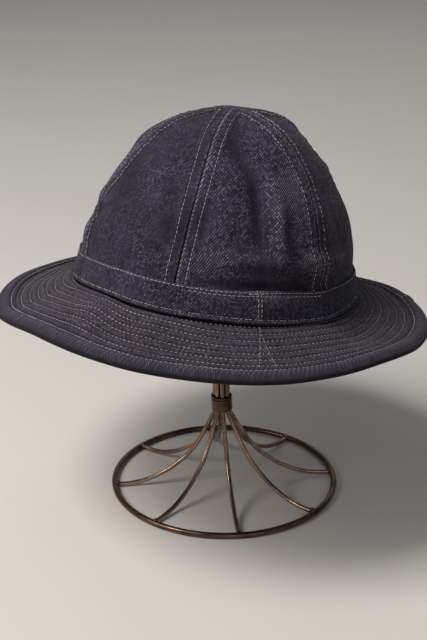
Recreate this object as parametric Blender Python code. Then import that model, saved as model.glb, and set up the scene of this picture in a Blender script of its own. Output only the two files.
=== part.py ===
"""A cloth field hat with a six-panel crown and a stitched brim, resting on a wire hat stand.

Metres, +Z up. Azimuths are in degrees: 0 is towards the front of the view (-Y) and 90 is to
the right (+X). The stand's base ring lies on z = 0, and the origin is under the middle of the
whole, at its base. The hat is modelled level in its own frame, whose origin is the middle of
the crown's mouth, and an empty then tips it and seats it on the stand's top ring.
"""

import math
from bisect import bisect_right
from collections import namedtuple

import bmesh
import bpy
from mathutils import Euler, Vector
from mathutils.bvhtree import BVHTree

# The hat
MOUTH_LENGTH = 0.1880        # crown's mouth over its cloth, from the front to the back
MOUTH_WIDTH = 0.1800         # the same, from side to side
CROWN_HEIGHT = 0.1120        # from the mouth to the top
CROWN_CLOTH = 0.0015
CROWN_TIP = 0.0012           # radius of the point that the panels leave open at the top
PANELS = 6
FIRST_SEAM = -14.0           # azimuth of the seam that shows left of the middle
SEAM_WIDTH = 0.0072          # pressed-open allowance on each side of a seam
SEAM_RAISE = 0.0008          # how far the allowances lift the cloth
SEAM_STEP = 0.0018           # width of the slope beside an allowance
SEAM_NARROWS = 0.55          # most of a half panel that an allowance takes, near the top
STEP_NARROWS = 0.15          # most of a half panel that its slope takes there
DENTS_FROM = 0.3             # share of the height below which the dents fade towards the mouth
DENTS_TO = 0.2               # share of the mouth's radius within which they fade at the top
BAND_HEIGHT = 0.0178
BAND_CLOTH = 0.0013
ROLL_HEIGHT = 0.0042         # the band's rolled lower edge
ROLL_THICKNESS = 0.0026
BRIM_REACH = 0.0450          # level distance from the crown to the edge
BRIM_DROP = 0.0185           # how far the edge lies below the crown's mouth
BRIM_THICKNESS = 0.0024
BINDING_WIDTH = 0.0110       # on each face of the brim
BINDING_CLOTH = 0.0012
BINDING_PUFF = 1.5           # its middle stands this many cloths off the brim
BINDING_LIP = 0.8            # and its inner edge this many

# How the hat rests
HAT_ROLL = 4.8               # degrees, right side down
HAT_TIP = -7.0               # degrees, front up
HAT_ASIDE = -0.0065          # the mouth's middle from the base ring's middle
HAT_BACK = -0.0040
TOP_LEAN = 0.0020            # how far the crown's top slumps to the right

# The stand
STAND_HEIGHT = 0.2360
BASE_RADIUS = 0.0750         # to the middle of the bar
BASE_BAR = 0.0040
TOP_RADIUS = 0.0450
TOP_BAR = 0.0036
WIRES = 8
WIRE = 0.0030
FIRST_WIRE = 7.0             # azimuth of the wire nearest the front
STAND_LEAN = 1.8             # degrees, to the left
COLLAR_FROM = 0.0553
COLLAR_LENGTH = 0.0082
COLLAR_WALL = 0.0009
COLLAR_ROUND = 0.4           # share of the wall by which its edges are rounded
BEAD = 0.0022                # the bead above the collar
FLARE_HEIGHT = 0.0500        # top part in which the wires spread again

# Clearances
GAP = 0.0003                 # between pieces that touch
REST_GAP = 0.00045           # straight down from the crown to the stand

# Faceting
CROWN_ROWS = 9               # from the band to the top
PANEL_SPANS = 6              # across a panel between its seam allowances
BASE_SIDES = 48
TOP_SIDES = 32
COLLAR_SIDES = 24
BAR_SIDES = 8
CURVE_STEPS = 9
SECTION_STEP = 0.002         # share of the crown's section over which its slope is measured
BRIM_STEP = 0.01             # share of the brim's reach over which its slope is measured
HALVINGS = 40                # steps in which a place on the section is searched
SMOOTH_UP_TO = 35.0          # degrees between faces that are shaded as one curve


def table(columns, *rows):
    """Rows of numbers under named columns."""
    row_type = namedtuple("Row", columns)
    return [row_type(*row) for row in rows]


# Half of the crown's outline, as shares of its height and of the mouth's radius
CROWN_SECTION = table(
    "up out",
    (-0.04, 1.006),
    (0.00, 1.000),
    (0.14, 0.962),
    (0.28, 0.934),
    (0.42, 0.887),
    (0.55, 0.812),
    (0.67, 0.715),
    (0.78, 0.603),
    (0.87, 0.496),
    (0.94, 0.350),
    (0.985, 0.150),
    (1.00, 0.000),
)

# Dents (positive) and ridges (negative): where the middle is, how deep as a share of the
# crown's height, how wide in degrees and how tall as a share of the height
CROWN_DENTS = table(
    "azimuth up depth wide tall",
    (14, 0.50, 0.026, 8, 0.24),
    (30, 0.48, -0.018, 8, 0.20),
    (12, 0.86, 0.018, 16, 0.10),
    (10, 0.24, 0.014, 22, 0.05),
    (-4, 0.42, -0.010, 8, 0.20),
    (-45, 0.52, 0.016, 13, 0.12),
    (-62, 0.30, -0.012, 14, 0.10),
    (-88, 0.42, 0.026, 14, 0.12),
    (-95, 0.24, -0.014, 18, 0.09),
    (70, 0.60, 0.012, 14, 0.20),
    (95, 0.40, -0.016, 22, 0.22),
    (140, 0.50, 0.024, 15, 0.22),
    (185, 0.35, 0.016, 20, 0.14),
    (215, 0.60, -0.012, 16, 0.20),
    (240, 0.40, 0.018, 15, 0.16),
)

# The band's outline beside the crown, from its top fold to its rolled edge: the fold as shares
# of the band's height and cloth, and the roll as shares of its own height and thickness
BAND_FOLD = table(
    "up out",
    (1.00, 0.0),
    (1.00, 0.6),
    (0.95, 1.0),
)
BAND_ROLL = table(
    "up out",
    (0.85, 0.85),
    (0.45, 1.00),
    (0.00, 0.70),
)
ROLL_STARTS = 1.2            # roll heights above the edge at which the band's cloth turns out

# Waves of the crown's mouth, as a share of its height, and of the brim's edge, as shares of
# its reach and of its drop
RIM_WAVES = table(
    "azimuth rise reach drop",
    (-165, 0.000, 1.00, 0.66),
    (-135, -0.005, 1.00, 0.78),
    (-105, -0.004, 1.00, 0.98),
    (-75, 0.006, 1.03, 1.04),
    (-45, 0.012, 1.00, 0.86),
    (-15, 0.004, 1.00, 1.04),
    (15, -0.006, 1.00, 0.99),
    (45, -0.010, 1.00, 0.65),
    (75, -0.005, 1.01, 0.62),
    (105, 0.002, 1.02, 0.68),
    (135, 0.010, 1.00, 0.82),
    (165, 0.010, 1.00, 0.70),
)

# The brim falls faster near the crown than at its edge
BRIM_SECTION = table(
    "out down",
    (0.00, 0.00),
    (0.12, 0.17),
    (0.30, 0.38),
    (0.50, 0.59),
    (0.70, 0.77),
    (1.00, 1.00),
)
BRIM_ROWS = (0.0, 0.12, 0.30, 0.50)    # shares of the reach where the brim has corners

# The bead above the collar, as shares of its height and of the collar's rounding
BEAD_SECTION = table(
    "up in_by",
    (0.2, 0.0),
    (0.7, 0.0),
    (1.0, 1.0),
)

# A wire from the base ring to the neck, as shares of the level and the upright distance
FOOT_CURVE = table(
    "out up",
    (1.00, 0.000),
    (0.88, 0.004),
    (0.71, 0.045),
    (0.525, 0.150),
    (0.39, 0.270),
    (0.27, 0.410),
    (0.17, 0.590),
    (0.07, 0.820),
    (0.00, 1.000),
)


def smooth(knots, values, at):
    """Reads a smooth curve that passes through a table's points."""
    last = len(knots) - 1
    left = min(max(bisect_right(knots, at) - 1, 0), last - 1)

    def slope(i):
        before, after = max(i - 1, 0), min(i + 1, last)
        return (values[after] - values[before]) / (knots[after] - knots[before])

    span = knots[left + 1] - knots[left]
    t = (at - knots[left]) / span
    rise = values[left + 1] - values[left]
    start, end = slope(left) * span, slope(left + 1) * span
    return values[left] + t * (start + t * (3 * rise - 2 * start - end + t * (start + end - 2 * rise)))


def along(rows, column, share):
    """A column of a table, read at a share of the way from its first row to its last."""
    knots = list(range(len(rows)))
    return smooth(knots, [getattr(row, column) for row in rows], share * (len(rows) - 1))


def around(rows, column, azimuth):
    """A column of a table that closes on itself after a full turn."""
    turned = (azimuth - rows[0].azimuth) % 360 + rows[0].azimuth
    knots = [row.azimuth + turn for turn in (-360, 0, 360) for row in rows]
    values = [getattr(row, column) for row in rows] * 3
    return smooth(knots, values, turned)


def pointing(azimuth, radius, height):
    """A point at a radius and a height, in the direction of an azimuth."""
    angle = math.radians(azimuth)
    return Vector((radius * math.sin(angle), -radius * math.cos(angle), height))


def material(name, colour, roughness, metallic=0.0):
    """A Principled material."""
    made = bpy.data.materials.new(name)
    made.use_nodes = True
    shader = made.node_tree.nodes["Principled BSDF"]
    shader.inputs["Base Color"].default_value = (*colour, 1.0)
    shader.inputs["Roughness"].default_value = roughness
    shader.inputs["Metallic"].default_value = metallic
    return made


def add_object(name, data, parent, finish):
    """Links a mesh or a curve as a named object with its material."""
    data.materials.append(finish)
    made = bpy.data.objects.new(name, data)
    made.parent = parent
    bpy.context.collection.objects.link(made)
    return made


def add_mesh(name, points, faces, parent, finish):
    """A closed mesh with its faces turned outwards, shaded smooth up to an angle."""
    shell = bmesh.new()
    corners = [shell.verts.new(point) for point in points]
    for face in faces:
        shell.faces.new([corners[i] for i in face])
    bmesh.ops.recalc_face_normals(shell, faces=shell.faces)
    mesh = bpy.data.meshes.new(name)
    shell.to_mesh(mesh)
    shell.free()
    mesh.shade_smooth()
    mesh.set_sharp_from_angle(angle=math.radians(SMOOTH_UP_TO))
    return add_object(name, mesh, parent, finish)


def add_hoop(name, sections, parent, finish):
    """A closed hoop skinned over equal sections that follow each other round."""
    turns, sides = len(sections), len(sections[0])
    points = [point for section in sections for point in section]
    faces = []
    for turn in range(turns):
        for side in range(sides):
            here, there = turn * sides, (turn + 1) % turns * sides
            nextside = (side + 1) % sides
            faces.append((here + side, there + side, there + nextside, here + nextside))
    return add_mesh(name, points, faces, parent, finish)


def add_wall(name, outer, inner, parent, finish):
    """A closed wall between two grids of points, each a list of rows."""
    rows, columns = len(outer), len(outer[0])
    inside = rows * columns
    points = [point for grid in (outer, inner) for row in grid for point in row]
    faces = []
    for i in range(rows - 1):
        for j in range(columns - 1):
            a = i * columns + j
            quad = (a, a + 1, a + 1 + columns, a + columns)
            faces.append(quad)
            faces.append(tuple(k + inside for k in reversed(quad)))
    rim = list(range(columns))
    rim += [i * columns + columns - 1 for i in range(1, rows)]
    rim += [(rows - 1) * columns + j for j in range(columns - 2, -1, -1)]
    rim += [i * columns for i in range(rows - 2, 0, -1)]
    for k, corner in enumerate(rim):
        after = rim[(k + 1) % len(rim)]
        faces.append((corner, corner + inside, after + inside, after))
    return add_mesh(name, points, faces, parent, finish)


# The crown's surface

def mouth_radius(azimuth):
    """Radius of the oval mouth over its cloth."""
    angle = math.radians(azimuth)
    half_length, half_width = MOUTH_LENGTH / 2, MOUTH_WIDTH / 2
    return half_length * half_width / math.hypot(half_width * math.cos(angle),
                                                 half_length * math.sin(angle))


def section_share(up):
    """Where on the crown's section a share of its height is reached."""
    low, high = 0.0, 1.0
    for _ in range(HALVINGS):
        middle = (low + high) / 2
        if along(CROWN_SECTION, "up", middle) < up:
            low = middle
        else:
            high = middle
    return (low + high) / 2


def crown_radius(azimuth, share):
    """Distance of the plain crown from its axis."""
    out = along(CROWN_SECTION, "out", share)
    return CROWN_TIP + (mouth_radius(azimuth) - CROWN_TIP) * out


def dent_depth(azimuth, up):
    """How far the folds and dents push the crown in."""
    depth = 0.0
    for dent in CROWN_DENTS:
        turn = (azimuth - dent.azimuth + 180) % 360 - 180
        depth += dent.depth * math.exp(-(turn / dent.wide) ** 2 - ((up - dent.up) / dent.tall) ** 2)
    return depth * CROWN_HEIGHT


def crown_point(azimuth, share, lift=0.0):
    """A point on the crown's outer face, moved out by a lift."""
    up = along(CROWN_SECTION, "up", share)
    radius = crown_radius(azimuth, share)
    low, high = max(share - SECTION_STEP, 0.0), min(share + SECTION_STEP, 1.0)
    run = crown_radius(azimuth, high) - crown_radius(azimuth, low)
    climb = CROWN_HEIGHT * (along(CROWN_SECTION, "up", high) - along(CROWN_SECTION, "up", low))
    steepness = math.hypot(run, climb)
    fade = min(max(up / DENTS_FROM, 0.0), 1.0)
    calm = min(radius / (DENTS_TO * mouth_radius(azimuth)), 1.0)
    lift = lift - dent_depth(azimuth, up) * fade * calm
    rise = around(RIM_WAVES, "rise", azimuth) * CROWN_HEIGHT * (1.0 - max(up, 0.0)) ** 2
    height = up * CROWN_HEIGHT + rise - lift * run / steepness
    point = pointing(azimuth, max(radius + lift * climb / steepness, CROWN_TIP / 2), height)
    point.x += TOP_LEAN * max(up, 0.0) ** 2
    return point


def panel_columns(radius):
    """Distances round the wall from a panel's middle to its columns, and each one's lift."""
    half = math.radians(180.0 / PANELS) * radius
    strip = min(SEAM_WIDTH, SEAM_NARROWS * half)
    slope = min(SEAM_STEP, STEP_NARROWS * half)
    inner = half - strip - slope
    middle = [inner * (2 * k / PANEL_SPANS - 1) for k in range(PANEL_SPANS + 1)]
    columns = [-half, -half + strip] + middle + [half - strip, half]
    lifts = [SEAM_RAISE, SEAM_RAISE] + [0.0] * (PANEL_SPANS + 1) + [SEAM_RAISE, SEAM_RAISE]
    return columns, lifts


def wall_shares():
    """Shares of the crown's section at its rows: below the brim, at the band, then to the top."""
    lap = -(BRIM_THICKNESS + GAP) / CROWN_HEIGHT
    band = BAND_HEIGHT / CROWN_HEIGHT
    shares = [section_share(up) for up in (lap, 0.0, band / 2, band)]
    start = shares[-1]
    shares += [start + (1.0 - start) * k / CROWN_ROWS for k in range(1, CROWN_ROWS + 1)]
    return shares


def panel_middle(panel):
    """Azimuth of a panel's middle."""
    return FIRST_SEAM + 360.0 / PANELS * (panel + 0.5)


def crown_panel(panel, hat, finish):
    """One gore of the crown, with its seam allowances raised along both edges."""
    middle = panel_middle(panel)
    outer, inner = [], []
    for share in wall_shares():
        radius = crown_radius(middle, share)
        columns, lifts = panel_columns(radius)
        edge = GAP / 2
        columns[0] += edge
        columns[-1] -= edge
        azimuths = [middle + math.degrees(column / radius) for column in columns]
        outer.append([crown_point(a, share, lift) for a, lift in zip(azimuths, lifts)])
        inner.append([crown_point(a, share, -CROWN_CLOTH) for a in azimuths])
    return add_wall(f"crown_panel_{panel + 1}", outer, inner, hat, finish)


def wall_azimuths(share):
    """Azimuths round the whole crown at its columns, and the cloth's lift at each."""
    found = []
    for panel in range(PANELS):
        middle = panel_middle(panel)
        radius = crown_radius(middle, share)
        columns, lifts = panel_columns(radius)
        for column, lift in list(zip(columns, lifts))[:-1]:
            found.append((middle + math.degrees(column / radius), lift))
    return found


# Band, brim and binding

def hat_band(hat, finish):
    """The band round the crown's foot, with a rolled lower edge."""
    outline = [(0.0, 0.0), (BAND_HEIGHT / 2, 0.0)]
    outline += [(row.up * BAND_HEIGHT, row.out * BAND_CLOTH) for row in BAND_FOLD]
    outline += [(ROLL_STARTS * ROLL_HEIGHT, BAND_CLOTH)]
    outline += [(row.up * ROLL_HEIGHT, row.out * ROLL_THICKNESS) for row in BAND_ROLL]
    spots = [(section_share(max(height, GAP) / CROWN_HEIGHT), out) for height, out in outline]
    rings = [(wall_azimuths(share), share, out) for share, out in spots]
    sections = []
    for column in range(len(rings[0][0])):
        section = []
        for azimuths, share, out in rings:
            azimuth, lift = azimuths[column]
            section.append(crown_point(azimuth, share, lift + GAP + out))
        sections.append(section)
    return add_hoop("hat_band", sections, hat, finish)


def brim_height(azimuth, share):
    """How far the brim's upper face lies below its root, at a share of its reach."""
    outs = [row.out for row in BRIM_SECTION]
    downs = [row.down for row in BRIM_SECTION]
    return BRIM_DROP * around(RIM_WAVES, "drop", azimuth) * smooth(outs, downs, share)


def brim_face(azimuth, lift, shares):
    """Points of the brim's upper face as (radius, height), with the face's outward slope."""
    root = crown_point(azimuth, section_share(0.0), lift + GAP)
    radius, height = math.hypot(root.x, root.y), root.z
    reach = BRIM_REACH * around(RIM_WAVES, "reach", azimuth)
    points = []
    for share in shares:
        ahead, behind = min(share + BRIM_STEP, 1.0), max(share - BRIM_STEP, 0.0)
        fall = brim_height(azimuth, ahead) - brim_height(azimuth, behind)
        slope = math.atan2(fall, reach * (ahead - behind))
        points.append((radius + reach * share, height - brim_height(azimuth, share), slope))
    return points


def beside(point, along_face, off_face):
    """A (radius, height) moved along the brim's face and off it."""
    radius, height, slope = point
    return (radius + along_face * math.cos(slope) + off_face * math.sin(slope),
            height - along_face * math.sin(slope) + off_face * math.cos(slope))


def binding_share():
    """Share of the brim's reach at which the binding starts."""
    return 1.0 - BINDING_WIDTH / math.hypot(BRIM_REACH, BRIM_DROP)


def brim(hat, finish):
    """The stitched two-layer brim, from the crown's wall to under the binding."""
    shares = [*BRIM_ROWS, binding_share(), 1.0]
    lap = section_share(-BRIM_THICKNESS / CROWN_HEIGHT)
    sections = []
    for azimuth, lift in wall_azimuths(section_share(0.0)):
        face = brim_face(azimuth, lift, shares)
        foot = crown_point(azimuth, lap, lift + GAP)
        top = [(radius, height) for radius, height, _ in face]
        under = [beside(point, 0.0, -BRIM_THICKNESS) for point in face[1:]]
        under.insert(0, (math.hypot(foot.x, foot.y), foot.z))
        outline = top + under[::-1]
        sections.append([pointing(azimuth, *spot) for spot in outline])
    return add_hoop("brim", sections, hat, finish)


def brim_binding(hat, finish):
    """The bias strip folded over the brim's edge, a little puffed."""
    start = binding_share()
    shares = [start, (start + 1) / 2, 1.0]
    under = -BRIM_THICKNESS - GAP
    puffed = BINDING_CLOTH * BINDING_PUFF
    sections = []
    for azimuth, lift in wall_azimuths(section_share(0.0)):
        first, half, edge = brim_face(azimuth, lift, shares)
        outline = [
            beside(edge, GAP, GAP),
            beside(first, 0.0, GAP),
            beside(first, 0.0, GAP + BINDING_CLOTH * BINDING_LIP),
            beside(half, 0.0, GAP + puffed),
            beside(edge, -BINDING_CLOTH, GAP + puffed),
            beside(edge, GAP + BINDING_CLOTH, GAP),
            beside(edge, GAP + BINDING_CLOTH, under),
            beside(edge, -BINDING_CLOTH, under - puffed),
            beside(first, 0.0, under - BINDING_CLOTH),
            beside(first, 0.0, under),
            beside(edge, GAP, under),
        ]
        sections.append([pointing(azimuth, *spot) for spot in outline])
    return add_hoop("brim_binding", sections, hat, finish)


# The stand

def leaned(point):
    """Shifts a point with the stand's lean to the left."""
    return Vector((point.x - math.tan(math.radians(STAND_LEAN)) * point.z, point.y, point.z))


def bar_outline(bar):
    """Outline of a round bar with a flat side up, down, in and out, as (radius, height) steps."""
    corner = bar / 2 / math.cos(math.pi / BAR_SIDES)
    turns = [2 * math.pi * (k + 0.5) / BAR_SIDES for k in range(BAR_SIDES)]
    return [(corner * math.cos(turn), corner * math.sin(turn)) for turn in turns]


def turned_hoop(name, outline, sides, stand, finish):
    """A hoop with an outline of (radius, height) turned about the stand's neck."""
    sections = []
    for side in range(sides):
        azimuth = FIRST_WIRE + 360.0 * side / sides
        sections.append([leaned(pointing(azimuth, *spot)) for spot in outline])
    return add_hoop(name, sections, stand, finish)


def bar_ring(name, radius, bar, height, sides, stand, finish):
    """A ring bent from round bar, its middle at a height."""
    outline = [(radius + out, height + up) for out, up in bar_outline(bar)]
    return turned_hoop(name, outline, sides, stand, finish)


def neck_radius():
    """Radius at which the wires stand side by side in the neck."""
    return (WIRE + GAP) / 2 / math.sin(math.pi / WIRES)


def collar(stand, finish):
    """The collar that binds the wires, with a bead above it."""
    inner = neck_radius() + WIRE / 2 + GAP
    outer = inner + COLLAR_WALL
    low, high = COLLAR_FROM, COLLAR_FROM + COLLAR_LENGTH
    edge = COLLAR_WALL * COLLAR_ROUND
    outline = [(inner, low), (outer - edge, low), (outer, low + edge)]
    outline += [(outer, high - edge), (outer - edge, high)]
    outline += [(outer - row.in_by * edge, high + row.up * BEAD) for row in BEAD_SECTION]
    outline += [(inner, high + BEAD)]
    return turned_hoop("collar", outline, COLLAR_SIDES, stand, finish)


def swept(rows, reach, climb):
    """A wire's curve from a ring to the neck, as (radius, height) steps."""
    steps = [k / CURVE_STEPS for k in range(CURVE_STEPS + 1)]
    return [(neck_radius() + along(rows, "out", s) * reach, along(rows, "up", s) * climb) for s in steps]


def stand_wire(number, stand, finish):
    """One wire: a foot, its length of the neck, and an arm to the top ring."""
    azimuth = FIRST_WIRE + 360.0 * number / WIRES
    foot_end = BASE_RADIUS - BASE_BAR / 2 - GAP
    arm_end = TOP_RADIUS - TOP_BAR / 2 - GAP
    low, high = BASE_BAR / 2, STAND_HEIGHT - TOP_BAR / 2
    neck_from = COLLAR_FROM - GAP
    foot = swept(FOOT_CURVE, foot_end - neck_radius(), neck_from - low)
    arm = swept(FOOT_CURVE, arm_end - neck_radius(), FLARE_HEIGHT)
    path = [(radius, low + climb) for radius, climb in foot]
    path += [(radius, high - climb) for radius, climb in reversed(arm)]

    curve = bpy.data.curves.new(f"wire_{number + 1}", "CURVE")
    curve.dimensions = "3D"
    curve.bevel_depth = WIRE / 2
    curve.bevel_resolution = 2
    curve.use_fill_caps = True
    spline = curve.splines.new("POLY")
    spline.points.add(len(path) - 1)
    for spot, (radius, height) in zip(spline.points, path):
        spot.co = (*leaned(pointing(azimuth, radius, height)), 1.0)
    spline.use_smooth = True
    return add_object(f"wire_{number + 1}", curve, stand, finish)


# Putting the hat on the stand

def world_faces(made):
    """A mesh object's corners and faces in world space."""
    points = [made.matrix_world @ corner.co for corner in made.data.vertices]
    return points, [tuple(face.vertices) for face in made.data.polygons]


def bar_samples(ring):
    """Points along the edges of a ring's mesh, in world space."""
    samples = []
    for edge in ring.data.edges:
        start, end = (ring.matrix_world @ ring.data.vertices[i].co for i in edge.vertices)
        samples += [start.lerp(end, share) for share in (0.0, 0.25, 0.5, 0.75)]
    return samples


def seat_hat(hat, panels, ring):
    """Lowers the tipped hat until its crown rests on the stand's top ring."""
    hat.rotation_euler = Euler((math.radians(HAT_TIP), math.radians(HAT_ROLL), 0.0), "YXZ")
    hat.location = (HAT_ASIDE, HAT_BACK, STAND_HEIGHT)
    bpy.context.view_layer.update()
    points, faces = [], []
    for panel in panels:
        corners, sides = world_faces(panel)
        faces += [tuple(i + len(points) for i in side) for side in sides]
        points += corners
    crown = BVHTree.FromPolygons(points, faces)
    hits = [crown.ray_cast(sample, Vector((0, 0, 1))) for sample in bar_samples(ring)]
    clearance = min(distance for place, _, _, distance in hits if place is not None)
    hat.location.z -= clearance - REST_GAP
    bpy.context.view_layer.update()


def centre_over_origin(root, pieces):
    """Moves the whole so that the middle of its box lies over the origin."""
    corners = [piece.matrix_world @ Vector(corner) for piece in pieces for corner in piece.bound_box]
    for axis in (0, 1):
        places = [corner[axis] for corner in corners]
        root.location[axis] -= (min(places) + max(places)) / 2
    bpy.context.view_layer.update()


def empty(name, parent=None):
    """An empty that carries other pieces."""
    made = bpy.data.objects.new(name, None)
    made.parent = parent
    bpy.context.collection.objects.link(made)
    return made


def main():
    for old in list(bpy.data.objects):
        bpy.data.objects.remove(old, do_unlink=True)

    root = empty("hat_on_stand")
    hat = empty("hat", root)
    stand = empty("stand", root)

    denim = material("crown_denim", (0.030, 0.033, 0.062), 0.92)
    band_denim = material("band_denim", (0.030, 0.031, 0.058), 0.92)
    brim_denim = material("brim_denim", (0.034, 0.033, 0.060), 0.93)
    bound_denim = material("binding_denim", (0.024, 0.028, 0.060), 0.90)
    ring_iron = material("ring_iron", (0.060, 0.042, 0.036), 0.45, 0.85)
    wire_iron = material("wire_iron", (0.085, 0.055, 0.046), 0.40, 0.85)

    panels = [crown_panel(panel, hat, denim) for panel in range(PANELS)]
    cloth = [hat_band(hat, band_denim), brim(hat, brim_denim), brim_binding(hat, bound_denim)]

    base_ring = bar_ring("base_ring", BASE_RADIUS, BASE_BAR, BASE_BAR / 2, BASE_SIDES, stand, ring_iron)
    top_height = STAND_HEIGHT - TOP_BAR / 2
    top_ring = bar_ring("top_ring", TOP_RADIUS, TOP_BAR, top_height, TOP_SIDES, stand, ring_iron)
    wires = [stand_wire(number, stand, wire_iron) for number in range(WIRES)]
    metal = [base_ring, top_ring, collar(stand, ring_iron)] + wires

    seat_hat(hat, panels, top_ring)
    centre_over_origin(root, panels + cloth + metal)


main()
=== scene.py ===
# %% [markdown]
# # A denim field hat on a wire stand
#
# This lesson dresses a plain, measured model with everything that the eye enjoys: soft cloth,
# seams that pull, rows of stitching and old iron. The measured model is the frame. It is
# loaded first and never changed, and each finished piece either lies over one of its solids
# or takes that solid's place.
#
# A reader who is new to Blender can run it from top to bottom. Each step says what the real
# thing is, how it could be made, and why it is made the way it is here.

# %% Open the measured model
import math

import bpy
import numpy as np
from mathutils import Euler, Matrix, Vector, noise


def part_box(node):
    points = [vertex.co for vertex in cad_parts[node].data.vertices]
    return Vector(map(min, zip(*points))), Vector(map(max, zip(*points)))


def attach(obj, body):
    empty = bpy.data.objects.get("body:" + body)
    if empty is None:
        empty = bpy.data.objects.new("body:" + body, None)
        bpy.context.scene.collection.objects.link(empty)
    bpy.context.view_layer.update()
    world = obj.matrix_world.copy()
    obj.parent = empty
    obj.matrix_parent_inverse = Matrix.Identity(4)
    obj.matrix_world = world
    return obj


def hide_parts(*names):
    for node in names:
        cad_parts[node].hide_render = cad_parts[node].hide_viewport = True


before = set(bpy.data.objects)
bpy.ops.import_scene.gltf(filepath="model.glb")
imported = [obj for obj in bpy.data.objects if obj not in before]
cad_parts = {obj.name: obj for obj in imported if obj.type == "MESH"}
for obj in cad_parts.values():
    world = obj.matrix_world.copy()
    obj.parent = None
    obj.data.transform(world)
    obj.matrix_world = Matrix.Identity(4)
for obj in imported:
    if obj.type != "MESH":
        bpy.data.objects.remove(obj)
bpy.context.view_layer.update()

MM = 0.001

# %% [markdown]
# ## Floor, light and camera
#
# A product picture needs very little: a pale floor and four soft lights. The key stands on the
# side that the real light came from. A weak fill in front keeps detail in the shaded side, one
# behind draws the hat's edge, and a low glint runs along the wires of the stand. Area lights
# are used because their size is what makes a shadow soft. The camera stands just under a metre
# from the stand and looks down on it. Its place is kept relative to the base ring, which is
# the easiest thing in a picture to measure.

# %% Floor and lights
FLOOR_SIZE = 14.0
FLOOR_TONE = (0.70, 0.68, 0.65)
SKY_TONE = (0.86, 0.88, 0.92)
SKY_STRENGTH = 0.16
MOTTLE = 0.03                   # how much the floor's tone wanders


def fill(tree, node, inputs):
    """Fills a node's inputs with values or with other nodes' sockets."""
    for name, value in inputs.items():
        if isinstance(value, bpy.types.NodeSocket):
            tree.links.new(value, node.inputs[name])
        else:
            node.inputs[name].default_value = value


def add(tree, kind, inputs=None, **settings):
    """Adds a node, sets it up and fills its inputs."""
    node = tree.nodes.new(kind)
    for name, value in settings.items():
        setattr(node, name, value)
    fill(tree, node, inputs or {})
    return node


def mixed(tree, share, first, second):
    """Two colours mixed by a share."""
    return add(tree, "ShaderNodeMix", {0: share, 6: first, 7: second}, data_type="RGBA").outputs[2]


def principled(name, **values):
    """A new material, its node tree and its shader, with plain values on the shader's sockets."""
    made = bpy.data.materials.new(name)
    made.use_nodes = True
    shader = made.node_tree.nodes["Principled BSDF"]
    for socket, value in values.items():
        shader.inputs[socket.replace("_", " ")].default_value = value
    return made, made.node_tree, shader


def link_object(name, data):
    """Puts a mesh, light or camera in the scene under a name."""
    made = bpy.data.objects.new(name, data)
    bpy.context.scene.collection.objects.link(made)
    return made


def pale_floor():
    """A large plane with a very faint mottle, so that it reads as a real surface."""
    half = FLOOR_SIZE / 2
    mesh = bpy.data.meshes.new("floor")
    corners = [(-half, -half, 0), (half, -half, 0), (half, half, 0), (-half, half, 0)]
    mesh.from_pydata(corners, [], [(0, 1, 2, 3)])
    made, tree, shader = principled("pale_floor", Roughness=0.62)
    where = add(tree, "ShaderNodeTexCoord").outputs["Object"]
    mottle = add(tree, "ShaderNodeTexNoise", {"Vector": where, "Scale": 7.0, "Detail": 4.0}).outputs["Fac"]
    darker, paler = [(*(change * part for part in FLOOR_TONE), 1) for change in (1 - MOTTLE, 1 + MOTTLE)]
    fill(tree, shader, {"Base Color": mixed(tree, mottle, darker, paler)})
    mesh.materials.append(made)
    floor = link_object("floor", mesh)


def soft_light(name, place, aim, size, watts, tone):
    """A square area light that faces a point."""
    lamp = bpy.data.lights.new(name, "AREA")
    lamp.size, lamp.energy, lamp.color = size, watts, tone
    made = link_object(name, lamp)
    made.location = place
    made.rotation_euler = (Vector(aim) - Vector(place)).to_track_quat("-Z", "Y").to_euler()


ring_low, ring_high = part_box("base_ring")
ring_middle = (ring_low + ring_high) / 2
band_low, band_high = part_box("hat_band")

pale_floor()
aim = (0, 0, (band_low + band_high).z / 2)
soft_light("key", (-0.85, -0.40, 1.75), aim, 0.7, 27, (1.0, 0.97, 0.93))
soft_light("fill", (0.4, -1.7, 0.8), aim, 1.4, 3.5, (1.0, 0.94, 0.92))
soft_light("back", (0.3, 1.6, 1.5), aim, 1.2, 3, (1.0, 0.96, 0.92))
soft_light("glint", (-0.96, -0.47, 0.90), (0, 0, 0.03), 0.5, 6, (1.0, 0.93, 0.86))

sky = bpy.data.worlds.new("studio")
sky.use_nodes = True
sky.node_tree.nodes["Background"].inputs["Color"].default_value = (*SKY_TONE, 1)
sky.node_tree.nodes["Background"].inputs["Strength"].default_value = SKY_STRENGTH
bpy.context.scene.world = sky
bpy.context.scene.view_settings.view_transform = "Standard"

# %% Camera
CAMERA_FROM_RING = Vector((-0.0074, -0.8175, 0.4635))    # from the ring's middle on the floor
CAMERA_PITCH = 22.82                                     # degrees down
LENS, SENSOR = 50.0, 23.6                                # millimetres

camera_data = bpy.data.cameras.new("camera")
camera_data.lens, camera_data.sensor_width = LENS, SENSOR
camera = link_object("camera", camera_data)
camera.location = Vector((ring_middle.x, ring_middle.y, 0)) + CAMERA_FROM_RING
camera.rotation_euler = (math.radians(90 - CAMERA_PITCH), 0, 0)
bpy.context.scene.camera = camera
print("camera at", [round(v, 3) for v in camera.location], "looking", CAMERA_PITCH, "degrees down")

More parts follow.
